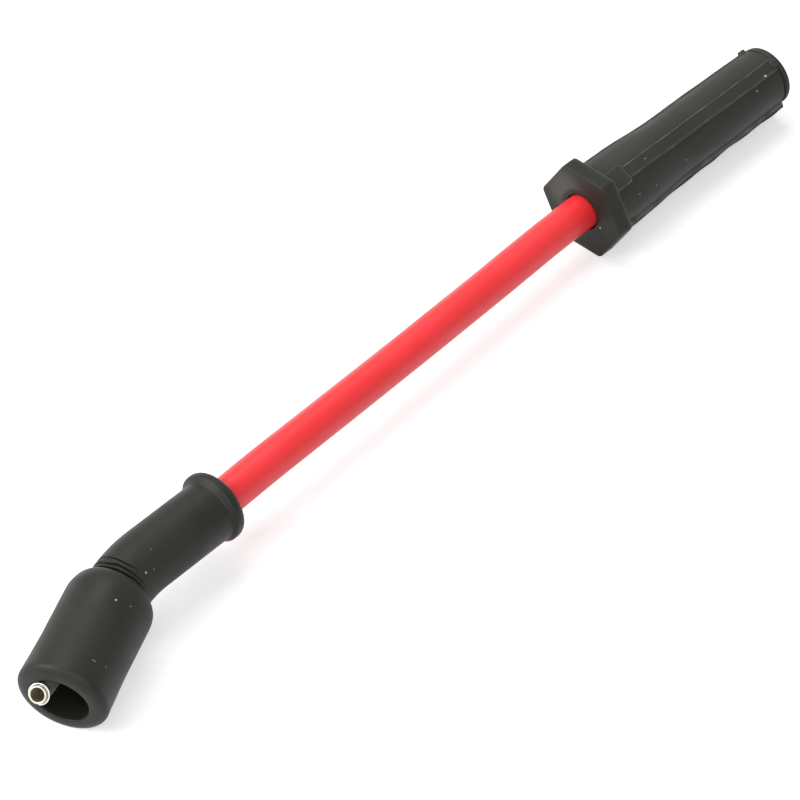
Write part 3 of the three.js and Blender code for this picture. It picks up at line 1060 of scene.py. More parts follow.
@dataclass
class PlugBoot:
    """The straight boot: hexagonal flange, waisted body with four ribs, end lip.

    Args:
        flats: across the flange's flats.
        root: radius of the fillet behind the flange.
        body: place along and radius of the body's stations.
        rib_sway: how far a rib's middle wanders.
        bead_height: of the bead of flash along a rib's edges.
        flash_rise: length over which a fin of flash rises behind the flange.
        faint_side: share of the painted highlight that the edge further round a rib lacks.
        knob_lumps: size of a knob's lumps along, across and in height.
        knob_edge: half the width over which a knob falls off at its sides.
        knob_highlight: the highlight painted on a knob's outline, in shares of the knob's half size.
        face_highlight: share of the highlight painted on the flange face.
        top_highlight: share of the light painted on the body's upper side, which is most at
            top_highlight_degrees.
    """

    flats: float = 24.8
    thickness: float = 5.0
    corner: float = 1.8
    edge: float = 0.5
    root: float = 0.5
    length: float = 78.9
    body: tuple[tuple[float, float], ...] = (
        (2.5, 10.2),
        (19, 10),
        (34, 9.15),
        (48, 9.1),
        (75.9, 8.75),
    )
    groove_width: float = 1.0
    groove_depth: float = 0.7
    lip_round: float = 0.8
    ribs: tuple[Rib, ...] = (
        Rib(28, 0.75, 12.2),
        Rib(128, 0.6, 11.2, 0.8),
        Rib(208, 0.75, 12.2),
        Rib(308, 0.2, 0),
    )
    rib_width: float = 3.5
    rib_edge: float = 0.22
    rib_sway: float = 0.07
    rib_uneven: float = 0.1
    bead_height: float = 0.24
    bead_width: float = 0.3
    flash_width: float = 0.34
    flash_rise: float = 6.0
    faint_side: float = 0.45
    pad_width: float = 5.2
    pad_end: float = 12.0
    pad_fall: float = 3.2
    knob_width: float = 3.0
    knob_length: float = 1.6
    knob_over_lip: float = 0.5
    knob_above_rib: float = 0.8
    knob_fall: float = 0.9
    knob_lumps: tuple[float, float, float] = (0.12, 0.1, 0.05)
    knob_edge: float = 0.5
    # highlights painted as light lines along the edges of ribs, pads, knobs and the flange
    rib_highlight: EdgeHighlight = EdgeHighlight(0.08, 0.26, 1.0)
    pad_highlight: EdgeHighlight = EdgeHighlight(0.1, 0.24, 1.2)
    pad_end_highlight: EdgeHighlight = EdgeHighlight(0.3, 0.3, 1.2)
    knob_highlight: EdgeHighlight = EdgeHighlight(0.2, 0.14, 0.6)
    flange_highlight: EdgeHighlight = EdgeHighlight(0.2, 0.25, 0.8)
    body_uneven: float = 0.05
    chamber_from: float = 16.4
    chamber_to: float = 46.0
    socket: float = 5.9
    mouth_chamfer: float = 0.9
    # a highlight painted on the flange face's upper left, and light painted on the body's upper side
    face_highlight: float = 0.36
    face_highlight_at: tuple[float, float, float] = (0.0, 6.2, 4.2)
    face_highlight_width: float = 6.4
    top_highlight: float = 0.12
    top_highlight_degrees: float = -10.0
    columns: int = 288

    @property
    def rib_end(self) -> float:
        """Where the ribs stop, at the groove before the end lip."""
        return self.body[-1][0]

    def flange_radius(self, turn: Array) -> Array:
        """Distance from the axis to the flange's edge.

        With a the angle from the nearest flat's middle, it is half the flats over
        the cosine of a. Past the flat it is where the ray meets the corner's arc.

        Args:
            turn: angle from the top in radians.

        Returns:
            The radius for each angle.
        """
        sixth = FULL_TURN / 6
        offset = np.abs((turn + sixth / 2) % sixth - sixth / 2)
        flat = self.flats / 2 / np.cos(offset)
        centre = (self.flats / 2 - self.corner) / math.cos(sixth / 2)
        from_corner = sixth / 2 - offset
        across = np.minimum(centre * np.sin(from_corner), self.corner)
        arc = centre * np.cos(from_corner) + np.sqrt(self.corner**2 - across**2)
        flat_half = (self.flats / 2 - self.corner) * math.tan(sixth / 2)
        return np.where(self.flats / 2 * np.tan(offset) > flat_half, arc, flat)

    def body_radius(self, along: Array) -> Array:
        """Radius of the body without ribs: a curve through its stations."""
        return through(np.array(self.body), np.ravel(along)).reshape(np.shape(along))

    def across(self, rib: Rib, turn: Array, radius: Array) -> tuple[Array, Array]:
        """How far places are from a rib's middle, across it.

        With a the angle from the rib, it is the radius times sin a.

        Args:
            rib: the rib.
            turn: angle from the top in radians.
            radius: the surface's radius.

        Returns:
            The distances, and the cosine of a.
        """
        away = (turn - math.radians(rib.degrees) + math.pi) % FULL_TURN - math.pi
        near = np.clip(away, -0.8, 0.8)
        return radius * np.sin(near), np.cos(near)

    def with_knobs(self, along: Array, turn: Array, radius: Array) -> Array:
        """Raises a surface to the knobs that end the ribs and bridge the groove.

        A knob's top is the ends' radius plus its height times a plateau along the
        boot, with lumps, and it falls off by a plateau of the distance across.

        Args:
            along: distance from the flange face.
            turn: angle from the top in radians.
            radius: the surface's radius.

        Returns:
            The radius with the knobs.
        """
        start = self.rib_end - self.knob_length
        end = self.rib_end + self.groove_width + self.knob_over_lip
        middle, half = (start + end) / 2, (end - start) / 2
        base = self.body[-1][1]
        lump_along, lump_across, lump_up = self.knob_lumps
        for number, rib in enumerate(self.ribs):
            lumps = Wave.KNOB_LUMPS.at(turn * 5 + along * 1.9, number)
            across, cosine = self.across(rib, turn, base)
            fall = self.knob_fall / 2
            length_share = plateau(along - middle + lump_along * lumps, half - fall, fall)
            offset = across + lump_across * lumps
            width_share = plateau(offset, self.knob_width / 2 - 0.35, self.knob_edge)
            height = (rib.height + self.knob_above_rib) * (1 + lump_up * lumps)
            top = (base + height - 0.08) / cosine
            foot = base - 1
            radius = np.maximum(radius, foot + (top - foot) * length_share * width_share)
        return radius

    def skin_radius(self, along: Array, turn: Array) -> Array:
        """Radius of the body with its ribs, pads and knobs.

        Each rib is a flat bar on the body: its top is the body's radius plus its
        height, over the cosine of the angle from its middle, and it comes in by a
        plateau of the distance across, with a thin bead of flash along both edges and,
        on one rib, a fin of flash on its middle. A pad does the same with a top of its
        own.

        Args:
            along: distance from the flange face.
            turn: angle from the top in radians.

        Returns:
            The radius at each place.
        """
        round_wave = Wave.BODY_ROUND.at(turn + 0 * along)
        along_wave = Wave.BODY_ALONG.at(along / self.length * math.pi)
        body = self.body_radius(along) + self.body_uneven * round_wave * along_wave
        skin = body + 0 * turn
        phase = along / self.length * FULL_TURN
        for number, rib in enumerate(self.ribs):
            across, cosine = self.across(rib, turn, body)
            across = across + self.rib_sway * Wave.RIB_SWAY.at(phase, number)
            height = rib.height * (1 + self.rib_uneven * Wave.RIB_HEIGHT.at(phase, number))
            bead = min(self.bead_height, rib.height / 4)
            bead = bead * bell(np.abs(across) - self.rib_width / 2 + 0.1, self.bead_width)
            height = height + bead * (1 + 0.4 * Wave.BEAD_HEIGHT.at(phase, number))
            fin = rib.flash * bell(across, self.flash_width)
            fin = fin * smoothstep(self.thickness, self.thickness + self.flash_rise, along)
            height = height + fin * (0.85 + 0.3 * Wave.FIN_HEIGHT.at(phase))
            top = (body + height) / cosine
            share = plateau(across, self.rib_width / 2, self.rib_edge)
            skin = np.maximum(skin, body + (top - body) * share)
            if rib.pad_radius:
                fall = np.clip((along - self.pad_end + self.pad_fall) / self.pad_fall, 0, 1)
                low = body + rib.height
                down = 1 - np.sqrt(1 - fall**2)
                pad = (rib.pad_radius + (low - rib.pad_radius) * down) / cosine
                share = plateau(across, self.pad_width / 2, 2 * self.rib_edge)
                share = share * (along < self.pad_end)
                skin = np.maximum(skin, body + (pad - body) * share)
        return self.with_knobs(along, turn, skin)

    def edge_highlight_share(self, along: Array, turn: Array) -> Array:
        """Where the edges of ribs, pads, knobs and flange are painted light as highlights.

        It is a bell of the distance from a rib's edge, a pad's edge or end, a knob's
        outline on its upper side, and the flange's back edge, with an uneven wave
        along the ribs and the flange.

        Args:
            along: distance from the flange face.
            turn: angle from the top in radians.

        Returns:
            A share from 0 to 1 for each place.
        """
        body = self.body_radius(along)
        phase = along / self.length * FULL_TURN
        reach = self.groove_width + self.knob_over_lip
        knob_at = self.rib_end + (reach - self.knob_length) / 2
        knob_half = (reach + self.knob_length) / 2
        painted_light = self.flange_highlight.at(along - self.thickness)
        painted_light = painted_light * (0.8 + 0.3 * Wave.FLANGE_HIGHLIGHT.at(turn))
        for number, rib in enumerate(self.ribs):
            across, _ = self.across(rib, turn, body)
            across = across + self.rib_sway * Wave.RIB_SWAY.at(phase, number)
            aside = np.abs(across)
            uneven = 0.75 + 0.35 * Wave.RIB_HIGHLIGHT.at(phase, number)
            from_here = self.pad_end if rib.pad_radius else self.thickness
            edge = self.rib_highlight.at(aside - self.rib_width / 2) * uneven
            edge = edge * (1 - self.faint_side * (across > 0))
            painted_light = np.maximum(painted_light, edge * (along > from_here) * (along < self.rib_end))
            if rib.pad_radius:
                half = self.pad_width / 2
                edge = self.pad_highlight.at(aside - half) * (along < self.pad_end)
                end = self.pad_end_highlight.at(along - self.pad_end) * (aside < half)
                pad = np.maximum(edge, end) * uneven
                painted_light = np.maximum(painted_light, pad * (along > self.thickness))
            away = np.hypot((along - knob_at) / knob_half, across / self.knob_width * 2)
            upper = np.clip(0.5 - across / self.knob_width, 0, 1)
            painted_light = np.maximum(painted_light, upper * self.knob_highlight.at(away - 1))
        return np.clip(painted_light, 0, 1)

    def face_and_top_highlight(self, points: Array) -> Array:
        """Where the boot is painted paler: a highlight painted on the flange face, and light painted
        on its upper side.

        The face highlight is a flat bell of the distance from one place on the face. The upper
        side's painted light goes by the cosine of the angle from top_highlight_degrees, past the
        flange.

        Args:
            points: the surface's points on the boot's own axes.

        Returns:
            A share from 0 to 1 for each point.
        """
        away = np.linalg.norm(points - np.array(self.face_highlight_at), axis=-1)
        face_highlight = self.face_highlight * bell(away, self.face_highlight_width, 4)
        turn = np.arctan2(-points[..., 1], points[..., 2])
        facing = np.clip(np.cos(turn - math.radians(self.top_highlight_degrees)), 0, 1)
        return np.maximum(face_highlight, self.top_highlight * facing * (points[..., 0] > self.thickness))

    def rows(self, turn: Array) -> tuple[Array, Array]:
        """The closed profile at each angle, from the wire's hole round to it again.

        It goes out over the flange, along the ribbed skin to the lip, round the tip
        and back through the bore.

        Args:
            turn: the angles, in radians.

        Returns:
            Distance along and radius, rows by angles.
        """
        ones = np.ones_like(turn)
        rim = self.flange_radius(turn)
        inner_rim = rim - self.edge
        skin_from = self.skin_radius(self.thickness * ones, turn)
        root = np.clip(inner_rim - skin_from - 0.05, 0, self.root)
        tip, lip = self.body[-1][1], self.rib_end + self.groove_width
        groove, groove_at = tip - self.groove_depth, self.rib_end + 0.34
        lip_shoulder = tip - self.lip_round
        mouth = self.socket + self.mouth_chamfer
        runs: list[tuple[Array, Array]] = []

        def level(profile: Array) -> None:
            """Adds the same rows at every angle."""
            runs.append((profile[:, :1] * ones, profile[:, 1:] * ones))

        def between(along: Array, inner: Array, outer: Array, shares: Array) -> None:
            """Adds rows on the way from one radius to another."""
            runs.append((along[:, None] * ones, inner + (outer - inner) * shares[:, None]))

        hole_edge = WIRE_HOLE + HOLE_ROUND
        level(outline((HOLE_ROUND, WIRE_HOLE), (0, hole_edge, 5, Way.ALONG_FIRST))[:-1])
        shares = np.linspace(0, 1, 9)
        between(0 * shares, hole_edge * ones, inner_rim, shares)
        arc = outline((0, 0), (self.edge, self.edge, 6, Way.RADIUS_FIRST))[1:]
        between(arc[:, 0], inner_rim, rim, arc[:, 1] / self.edge)
        flat = np.linspace(self.edge, self.thickness - self.edge, 5)[1:-1]
        between(flat, rim, rim, np.zeros(3))
        arc = outline((0, 0), (self.edge, self.edge, 6, Way.ALONG_FIRST))
        between(self.thickness - self.edge + arc[:, 0], rim, inner_rim, arc[:, 1] / self.edge)
        shares = np.linspace(0, 1, 6)[1:]
        between(np.full(5, self.thickness), inner_rim, skin_from + root, shares)
        angle = shares * math.pi / 2
        along = (self.thickness + self.root * (1 - np.cos(angle)))[:, None] * ones
        fillet = self.skin_radius(along, turn + 0 * along) + root * (1 - np.sin(angle))[:, None]
        runs.append((along, fillet))
        stations = (
            self.thickness + self.root,
            self.pad_end + 0.5,
            self.rib_end - self.knob_length - 0.3,
            self.rib_end,
        )
        steps = (34, 96, 24)
        spans = zip(stations, stations[1:], steps)
        along = np.concatenate([np.linspace(*span)[1:] for span in spans])[:, None] * ones
        runs.append((along, self.skin_radius(along, turn + 0 * along)))
        end = outline(
            (self.rib_end + 0.06, tip - 0.3),
            (groove_at, groove, 5, Way.RADIUS_FIRST),
            (lip - 0.4, groove, 3, Way.STRAIGHT),
            (lip - 0.05, groove + 0.35, 4, Way.ALONG_FIRST),
            (lip, tip - 0.3, 1, Way.STRAIGHT),
            (lip + 0.3, tip, 5, Way.RADIUS_FIRST),
            (lip + self.knob_over_lip + 0.2, tip, 4, Way.STRAIGHT),
            (self.length - self.lip_round, tip, 1, Way.STRAIGHT),
            (self.length, lip_shoulder, 7, Way.ALONG_FIRST),
        )
        along, radius = end[:, :1] * ones, end[:, 1:] * ones
        runs.append((along, self.with_knobs(along, turn + 0 * along, radius)))
        level(
            outline(
                (self.length, lip_shoulder),
                (self.length, mouth, 3, Way.STRAIGHT),
                (self.length - self.mouth_chamfer, self.socket, 6, Way.RADIUS_FIRST),
                (self.chamber_to, self.socket, 10, Way.STRAIGHT),
                (self.chamber_to, CRIMP_CHAMBER, 2, Way.STRAIGHT),
                (self.chamber_from, CRIMP_CHAMBER, 8, Way.STRAIGHT),
                (self.chamber_from, WIRE_HOLE, 2, Way.STRAIGHT),
                (HOLE_ROUND, WIRE_HOLE, 6, Way.STRAIGHT),
            )[:-1]
        )
        return tuple(np.concatenate(part) for part in zip(*runs))

    def build(self, placing: Placing) -> bpy.types.Object:
        """Makes the boot as one closed surface, profile by angle.

        Args:
            placing: the boot's own axes.

        Returns:
            The boot.
        """
        crowds = [(math.radians(rib.degrees), 0.33, 3.2) for rib in self.ribs]
        crowds += [(math.radians(30 + 60 * k), 0.07, 2.5) for k in range(6)]
        turn = crowded_turn(self.columns, crowds)
        along, radius = self.rows(turn)
        points = placing.place(lathe_points(along, radius, turn))
        shape = Shape()
        shape.grid(points, True, True)
        mesh = shape.mesh("ribbed_plug_boot")
        outside = radius > self.socket + self.mouth_chamfer
        # highlights painted on rib, pad, knob and flange edges, on the flange face and on the upper
        # side
        painted_light = self.edge_highlight_share(along, turn + 0 * along)
        pale = self.face_and_top_highlight(lathe_points(along, radius, turn))
        mark_painted_light(mesh, np.maximum(painted_light, pale) * outside)
        return put_in_scene(mesh, "plug_boot", RUBBER)


@dataclass(frozen=True)
class Relief:
    """One of the elbow's relief grooves.

    Args:
        before: distance of its middle from the neck's end.
        width: its width.
        depth: where it is deepest.
        number: of its drawn waves.
    """

    before: float
    width: float
    depth: float
    number: int


@dataclass
class CoilBoot:
    """The bent boot: collar bead, neck, elbow with three relief grooves, wide cup.

    Args:
        collar_at: place of the collar's face along the plug boot's axis.
        blend: how far past the collar's length its foot reaches.
        bead_flat: length of the top of the collar's bead.
        bead_shift: how far the bead stands off the axis, towards bead_degrees.
        bend_at: middle of the elbow's arc along the neck.
        side_turn: turn of the bend's plane from level, in degrees.
        flare_from: distance from the neck's end at which the cup widens.
        gap: half the room between the crimp and the end of its chamber.
        run_out: how far the middle of a relief's floor is off the axis.
        relief_turn: angle of their deepest side, in degrees.
        relief_edge: half the width over which a relief falls off.
        uneven: height of the skin's waves.
        pressed: how far in the waves are moved, so that none stands out.
    """

    collar_at: float = -146.5
    collar_radius: float = 9.7
    collar_length: float = 4.0
    blend: float = 0.5
    bead_flat: float = 1.0
    bead_shift: float = 0.3
    bead_degrees: float = 81.0
    neck_radius: float = 8.45
    neck_length: float = 39.8
    bend_degrees: float = 21.8
    bend_at: float = 34.6
    bend_length: float = 16.0
    side_turn: float = 21.5
    cup_radius: float = 11.55
    mouth_radius: float = 12.0
    cup_length: float = 34.7
    shoulder: float = 5.6
    flare_from: float = 20.8
    rim_length: float = 2.2
    rim_depth: float = 3.2
    bore: float = 7.5
    bore_round: float = 0.4
    bore_depth: float = 29.0
    floor_round: float = 0.6
    crimp_lap: float = 8.0
    gap: float = 0.3
    reliefs: tuple[Relief, ...] = (
        Relief(0.55, 1.1, 1.1, 5),
        Relief(2.05, 0.75, 1.05, 20),
        Relief(3.6, 0.5, 0.75, 36),
    )
    run_out: float = 1.6
    relief_turn: float = -60.0
    relief_edge: float = 0.14
    uneven: float = 0.05
    pressed: float = 0.06
    columns: int = 192

    @property
    def elbow_start(self) -> float:
        """Distance along the neck at which the elbow's arc starts."""
        return self.bend_at - self.bend_length / 2

    @property
    def cup_end(self) -> float:
        """Distance along the middle line of the cup's mouth."""
        return self.neck_length + self.cup_length

    def placing(self, plug: Placing, wire: IgnitionWire) -> tuple[Placing, float]:
        """The neck's own axes: X along it, Y towards the inside of the bend.

        Args:
            plug: the plug boot's axes, which the wire's route starts from.
            wire: the wire, whose last two points give the neck's line.

        Returns:
            The axes, and how far the wire goes in past the collar's face.
        """
        knots = wire.knots()
        neck = knots[-1] - knots[-2]
        neck /= np.linalg.norm(neck)
        centre = knots[-1] + neck * (self.collar_at - knots[-1][0]) / neck[0]
        inside = float(np.linalg.norm(knots[-1] - centre))
        side = np.cross((0, 0, 1), neck)
        side /= np.linalg.norm(side)
        down = -np.cross(neck, side)
        turn = math.radians(self.side_turn)
        inner = side * math.cos(turn) + down * math.sin(turn)
        axes = np.stack([neck, inner, np.cross(neck, inner)])
        return Placing(plug.origin + centre, axes), inside

    def groove_cut(self, along: Array, turn: Array, radius: Array) -> Array:
        """How deep the relief grooves go at each place.

        A groove's floor is a circle whose middle is off the axis, so it is deepest on
        one side and runs out on the other. Its width comes in by a plateau.

        Args:
            along: distance along the middle line.
            turn: angle from the third axis, in radians.
            radius: the surface's radius without grooves.

        Returns:
            The depth, zero outside the grooves.
        """
        lean = math.radians(self.relief_turn)
        towards = -np.sin(turn) * math.cos(lean) + np.cos(turn) * math.sin(lean)
        cut = np.zeros(np.broadcast_shapes(along.shape, turn.shape))
        for relief in self.reliefs:
            floor_radius = self.neck_radius - relief.depth + self.run_out
            across = self.run_out**2 * (1 - towards**2)
            floor = self.run_out * towards + np.sqrt(floor_radius**2 - across)
            sway = 0.12 * Wave.RELIEF_SWAY.at(turn * 2, relief.number)
            wider = 1 + 0.25 * Wave.RELIEF_WIDTH.at(turn * 2, relief.number)
            offset = along - (self.neck_length - relief.before + sway)
            share = plateau(offset, relief.width / 2 * wider, self.relief_edge)
            cut = np.maximum(cut, share * np.maximum(radius - floor, 0))
        return cut

    def profile(self, wire_inside: float) -> tuple[Array, int]:
        """The closed profile, from the wire's hole out, along, and back through the bore.

        Args:
            wire_inside: how far the wire goes in past the collar's face.

        Returns:
            Rows of [along, radius], and how many of them are on the outside.
        """
        bead, collar, neck = self.collar_length / 2, self.collar_radius, self.neck_radius
        elbow, cup, end = self.neck_length, self.cup_radius, self.cup_end
        foot, mouth = self.collar_length + self.blend, self.mouth_radius
        hole_edge, bore_edge = WIRE_HOLE + HOLE_ROUND, self.bore + self.bore_round
        rim = (end, mouth - self.rim_depth)
        outside = outline(
            (HOLE_ROUND, WIRE_HOLE),
            (0, hole_edge, 5, Way.ALONG_FIRST),
            (0, collar - bead, 4, Way.STRAIGHT),
            (bead, collar, 10, Way.RADIUS_FIRST),
            (bead + self.bead_flat, collar, 1, Way.STRAIGHT),
            (foot, neck, 14, Way.EASED),
            (elbow - 7, neck, 34, Way.STRAIGHT),
            (elbow, neck, 84, Way.STRAIGHT),
            (elbow + self.shoulder, cup, 18, Way.RADIUS_FIRST),
            (elbow + self.flare_from, cup, 16, Way.STRAIGHT),
            (end - self.rim_length, mouth, 14, Way.STRAIGHT),
            (*rim, 14, Way.ALONG_FIRST),
        )
        floor = end - self.bore_depth
        start = wire_inside - self.crimp_lap - 2 * self.gap
        inside = outline(
            rim,
            (end, bore_edge, 3, Way.STRAIGHT),
            (end - self.bore_round, self.bore, 10, Way.RADIUS_FIRST),
            (floor + self.floor_round, self.bore, 22, Way.STRAIGHT),
            (floor, self.bore - self.floor_round, 4, Way.ALONG_FIRST),
            (floor, CRIMP_CHAMBER, 2, Way.STRAIGHT),
            (start, CRIMP_CHAMBER, 20, Way.STRAIGHT),
            (start, WIRE_HOLE, 2, Way.STRAIGHT),
            (HOLE_ROUND, WIRE_HOLE, 8, Way.STRAIGHT),
        )
        return np.concatenate([outside, inside[1:-1]]), len(outside)

    def build(self, placing: Placing, wire_inside: float) -> bpy.types.Object:
        """Makes the boot as one closed surface, profile by angle, then bent.

        Args:
            placing: the neck's axes.
            wire_inside: how far the wire goes in past the collar's face.

        Returns:
            The boot.
        """
        profile, outside = self.profile(wire_inside)
        turn = np.linspace(0, FULL_TURN, self.columns, endpoint=False)[None]
        along, radius = profile[:, :1] + 0 * turn, profile[:, 1:] + 0 * turn
        skin = np.arange(len(profile))[:, None] < outside
        radius = radius - skin * self.groove_cut(along, turn, radius)
        bead = (profile[:, 1:] - self.neck_radius) / (self.collar_radius - self.neck_radius)
        bead = np.clip(bead, 0, 1) * (along < self.collar_length + self.blend)
        towards = np.cos(turn - math.radians(self.bead_degrees))
        radius = radius + skin * bead * self.bead_shift * towards
        round_wave = Wave.CUP_ROUND.at(turn + along * 0.02)
        wave = self.uneven * round_wave * Wave.CUP_ALONG.at(along / self.cup_end * math.pi)
        middle = smoothstep(1, 6, along)
        middle = middle * (1 - smoothstep(self.cup_end - 6, self.cup_end - 1, along))
        radius = radius + skin * np.minimum(wave - self.pressed, 0) * middle
        straight = lathe_points(along, radius, turn)
        bend = math.radians(self.bend_degrees)
        points = bent(straight, self.elbow_start, self.bend_length, bend)
        shape = Shape()
        shape.grid(placing.place(points), True, True)
        return put_in_scene(shape.mesh("bent_coil_boot"), "coil_boot", RUBBER)


@dataclass(frozen=True)
class TipTurn:
    """A second turn near a socket's mouth.

    Args:
        start: distance from the crimp's open end.
        length: of the arc.
        angle: of the arc, in radians.
        side: turn round the terminal of the side that it leans to, in radians.
        closed: length behind the mouth over which the seam is shut.
    """

    start: float
    length: float
    angle: float
    side: float
    closed: float


@dataclass
class CrimpTerminal:
    """A terminal of rolled sheet: crimp barrel, taper, socket with a rolled lip.

    Args:
        node: the CAD node that it stands for.
        title: name of its mesh.
        socket_bore: inner width of the socket.
        socket_length: of the socket.
        lip_height: of the lip at the mouth.
        spring_from_lip: distance of the spring ring from the mouth.
        lean: angle of the socket to the crimp, in radians.
        tip: the second turn, if there is one.
        groove: depth of the groove round the crimp.
        seam: width of the gap where the sheet's edges meet.
        hairline: half that width where the seam is shut.
        wire: thickness of the spring ring's wire.
    """

    node: str
    title: str
    socket_bore: float
    socket_length: float
    lip_height: float
    spring_from_lip: float
    lean: float = 0.0
    tip: TipTurn | None = None
    sheet: float = 0.45
    crimp_inner: float = 5.4
    crimp_length: float = 10.0
    taper_length: float = 8.0
    groove: float = 0.25
    seam: float = 0.8
    hairline: float = 0.015
    seat_depth: float = 0.2
    wire: float = 0.5
    columns: int = 96

    @property
    def taper_end(self) -> float:
        """Distance from the crimp's open end to the socket."""
        return self.crimp_length + self.taper_length

    @property
    def length(self) -> float:
        """The whole terminal's length."""
        return self.taper_end + self.socket_length

    def walls(self) -> tuple[Array, Array, Array]:
        """Distance along with the inner and outer radius there.

        The barrel narrows by a smoothstep over the taper. The outside has a groove
        round the crimp, a seat for the spring ring, and a lip at the mouth.

        Returns:
            Three arrays of the same length.
        """
        spring = self.length - self.spring_from_lip
        lip = self.length - 2 * self.sheet
        spans = [
            (0, self.crimp_length, 30),
            (self.crimp_length, self.taper_end, 22),
            (self.taper_end, lip, 30),
            (spring - 0.6, spring + 0.6, 17),
            (lip - 0.2, self.length, 18),
        ]
        if self.tip:
            spans.append((self.tip.start, self.tip.start + self.tip.length, 16))
        along = np.unique(np.concatenate([np.linspace(*span) for span in spans]))
        share = smoothstep(self.crimp_length, self.taper_end, along)
        inner = self.crimp_inner + (self.socket_bore / 2 - self.crimp_inner) * share
        outer = inner + self.sheet
        from_mouth = along - self.length + self.sheet / 2
        outer -= self.groove * plateau(along - self.crimp_length / 2, 0.5, 0.4)
        outer -= self.seat_depth * plateau(along - spring, self.wire / 2, 0.1)
        outer += self.lip_height * plateau(from_mouth, self.sheet * 0.7, 0.15)
        rounded = np.clip(from_mouth / (self.sheet / 2), 0, 1)
        thinned = 0.95 * self.sheet / 2 * (1 - np.sqrt(1 - rounded**2))
        return along, inner + thinned, outer - thinned

    def turned(self, points: Array) -> Array:
        """Bends points on the straight terminal: first its tip, then its whole socket.

        For the tip's turn the points are turned round X, so that its side comes to Y,
        bent there, and turned back.

        Args:
            points: points of the straight terminal, with X along it.

        Returns:
            The points where the terminal is bent.
        """
        tip = self.tip
        if tip:
            cosine, sine = math.cos(tip.side), math.sin(tip.side)
            turn_back = np.array([(1, 0, 0), (0, cosine, sine), (0, -sine, cosine)])
            points = bent(points @ turn_back.T, tip.start, tip.length, tip.angle) @ turn_back
        if self.lean:
            points = bent(points, self.crimp_length, self.taper_length, self.lean)
        return points

    def half_seam(self, along: Array) -> Array:
        """Half the seam's width, which narrows by a smoothstep where the seam is shut.

        Args:
            along: distance from the crimp's open end.

        Returns:
            Half the width at each place.
        """
        if not self.tip:
            return np.full_like(along, self.seam / 2)
        shut = self.length - self.tip.closed
        share = smoothstep(shut - 0.3, shut, along)
        return self.seam / 2 - (self.seam / 2 - self.hairline) * share

    def build(self, placing: Placing) -> bpy.types.Object:
        """Makes the terminal as an inner and an outer wall that meet at every edge.

        Both walls are profiles carried round the axis, from one side of the seam to
        the other, which stays the same width at every radius.

        Args:
            placing: axes with X along the terminal from the crimp's open end.

        Returns:
            The terminal.
        """
        along, inner, outer = self.walls()
        share = np.linspace(0, 1, self.columns)[None]
        shape = Shape()
        walls = []
        for radius, flip in ((outer, False), (inner, True)):
            radius = radius[:, None]
            half = np.arcsin(self.half_seam(along)[:, None] / radius)
            turn = math.pi + half + (FULL_TURN - 2 * half) * share
            points = self.turned(lathe_points(along[:, None], radius, turn))
            walls.append(shape.grid(placing.place(points), False, False, flip))
        out, back = walls
        shape.strip(back[0], out[0])
        shape.strip(out[-1], back[-1])
        shape.strip(out[:, 0], back[:, 0])
        shape.strip(back[:, -1], out[:, -1])
        return put_in_scene(shape.mesh(self.title), self.node, PLATED)


@dataclass
class SpringRing:
    """A round wire ring in the seat on a terminal's socket, open at one side.

    Args:
        terminal: the terminal that holds it.
        title: name of its mesh.
        opening: angle of its open part, in degrees.
        gap: between the ring and its seat.
        rows: points along the ring.
        round_rows: how many of these its rounded end takes.
        sides: points round its wire.
    """

    terminal: CrimpTerminal
    title: str
    opening: float = 60.0
    gap: float = 0.3
    rows: int = 90
    round_rows: int = 3
    sides: int = 14

    def build(self, placing: Placing) -> bpy.types.Object:
        """Makes the ring: a small circle carried round a large arc, closed at both ends.

        Args:
            placing: the terminal's axes.

        Returns:
            The ring.
        """
        held = self.terminal
        seat = held.socket_bore / 2 + held.sheet - held.seat_depth + self.gap
        radius = seat + held.wire / 2
        half = math.radians(self.opening / 2)
        turn = math.pi + half + (FULL_TURN - 2 * half) * np.linspace(0, 1, self.rows)
        row = np.arange(self.rows)
        to_end = np.clip(1 - np.minimum(row, row[::-1]) / self.round_rows, 0, 0.97)
        thick = held.wire / 2 * np.sqrt(1 - to_end**2)
        round_wire = np.linspace(0, FULL_TURN, self.sides, endpoint=False)[None]
        along = held.length - held.spring_from_lip + thick[:, None] * np.sin(round_wire)
        out = radius + thick[:, None] * np.cos(round_wire)
        points = placing.place(held.turned(lathe_points(along, out, turn[:, None])))
        shape = Shape()
        index = shape.grid(points, False, True)
        shape.cap(index[0], points[0].mean(0), False)
        shape.cap(index[-1], points[-1].mean(0), True)
        return put_in_scene(shape.mesh(self.title), held.node + "_spring", SPRING)


@dataclass
class PlugEnd:
    """The plug boot with its terminal and spring ring."""

    boot: PlugBoot
    wire: IgnitionWire
    crimp_lap: float = 8.0

    def build(self, placing: Placing) -> list[bpy.types.Object]:
        """Makes the three pieces on the plug boot's axes.

        Args:
            placing: the plug boot's axes.

        Returns:
            The boot, the terminal and the ring.
        """
        start = np.array([self.wire.route[0][0] - self.crimp_lap, 0, 0])
        seated = Placing(placing.origin + start, placing.axes)
        terminal = CrimpTerminal(
            "plug_terminal",
            "plug_crimp_terminal",
            socket_bore=6.6,
            socket_length=13.0,
            lip_height=0.0,
            spring_from_lip=6.0,
        )
        return [
            self.boot.build(placing),
            terminal.build(seated),
            SpringRing(terminal, "plug_clip_ring").build(seated),
        ]


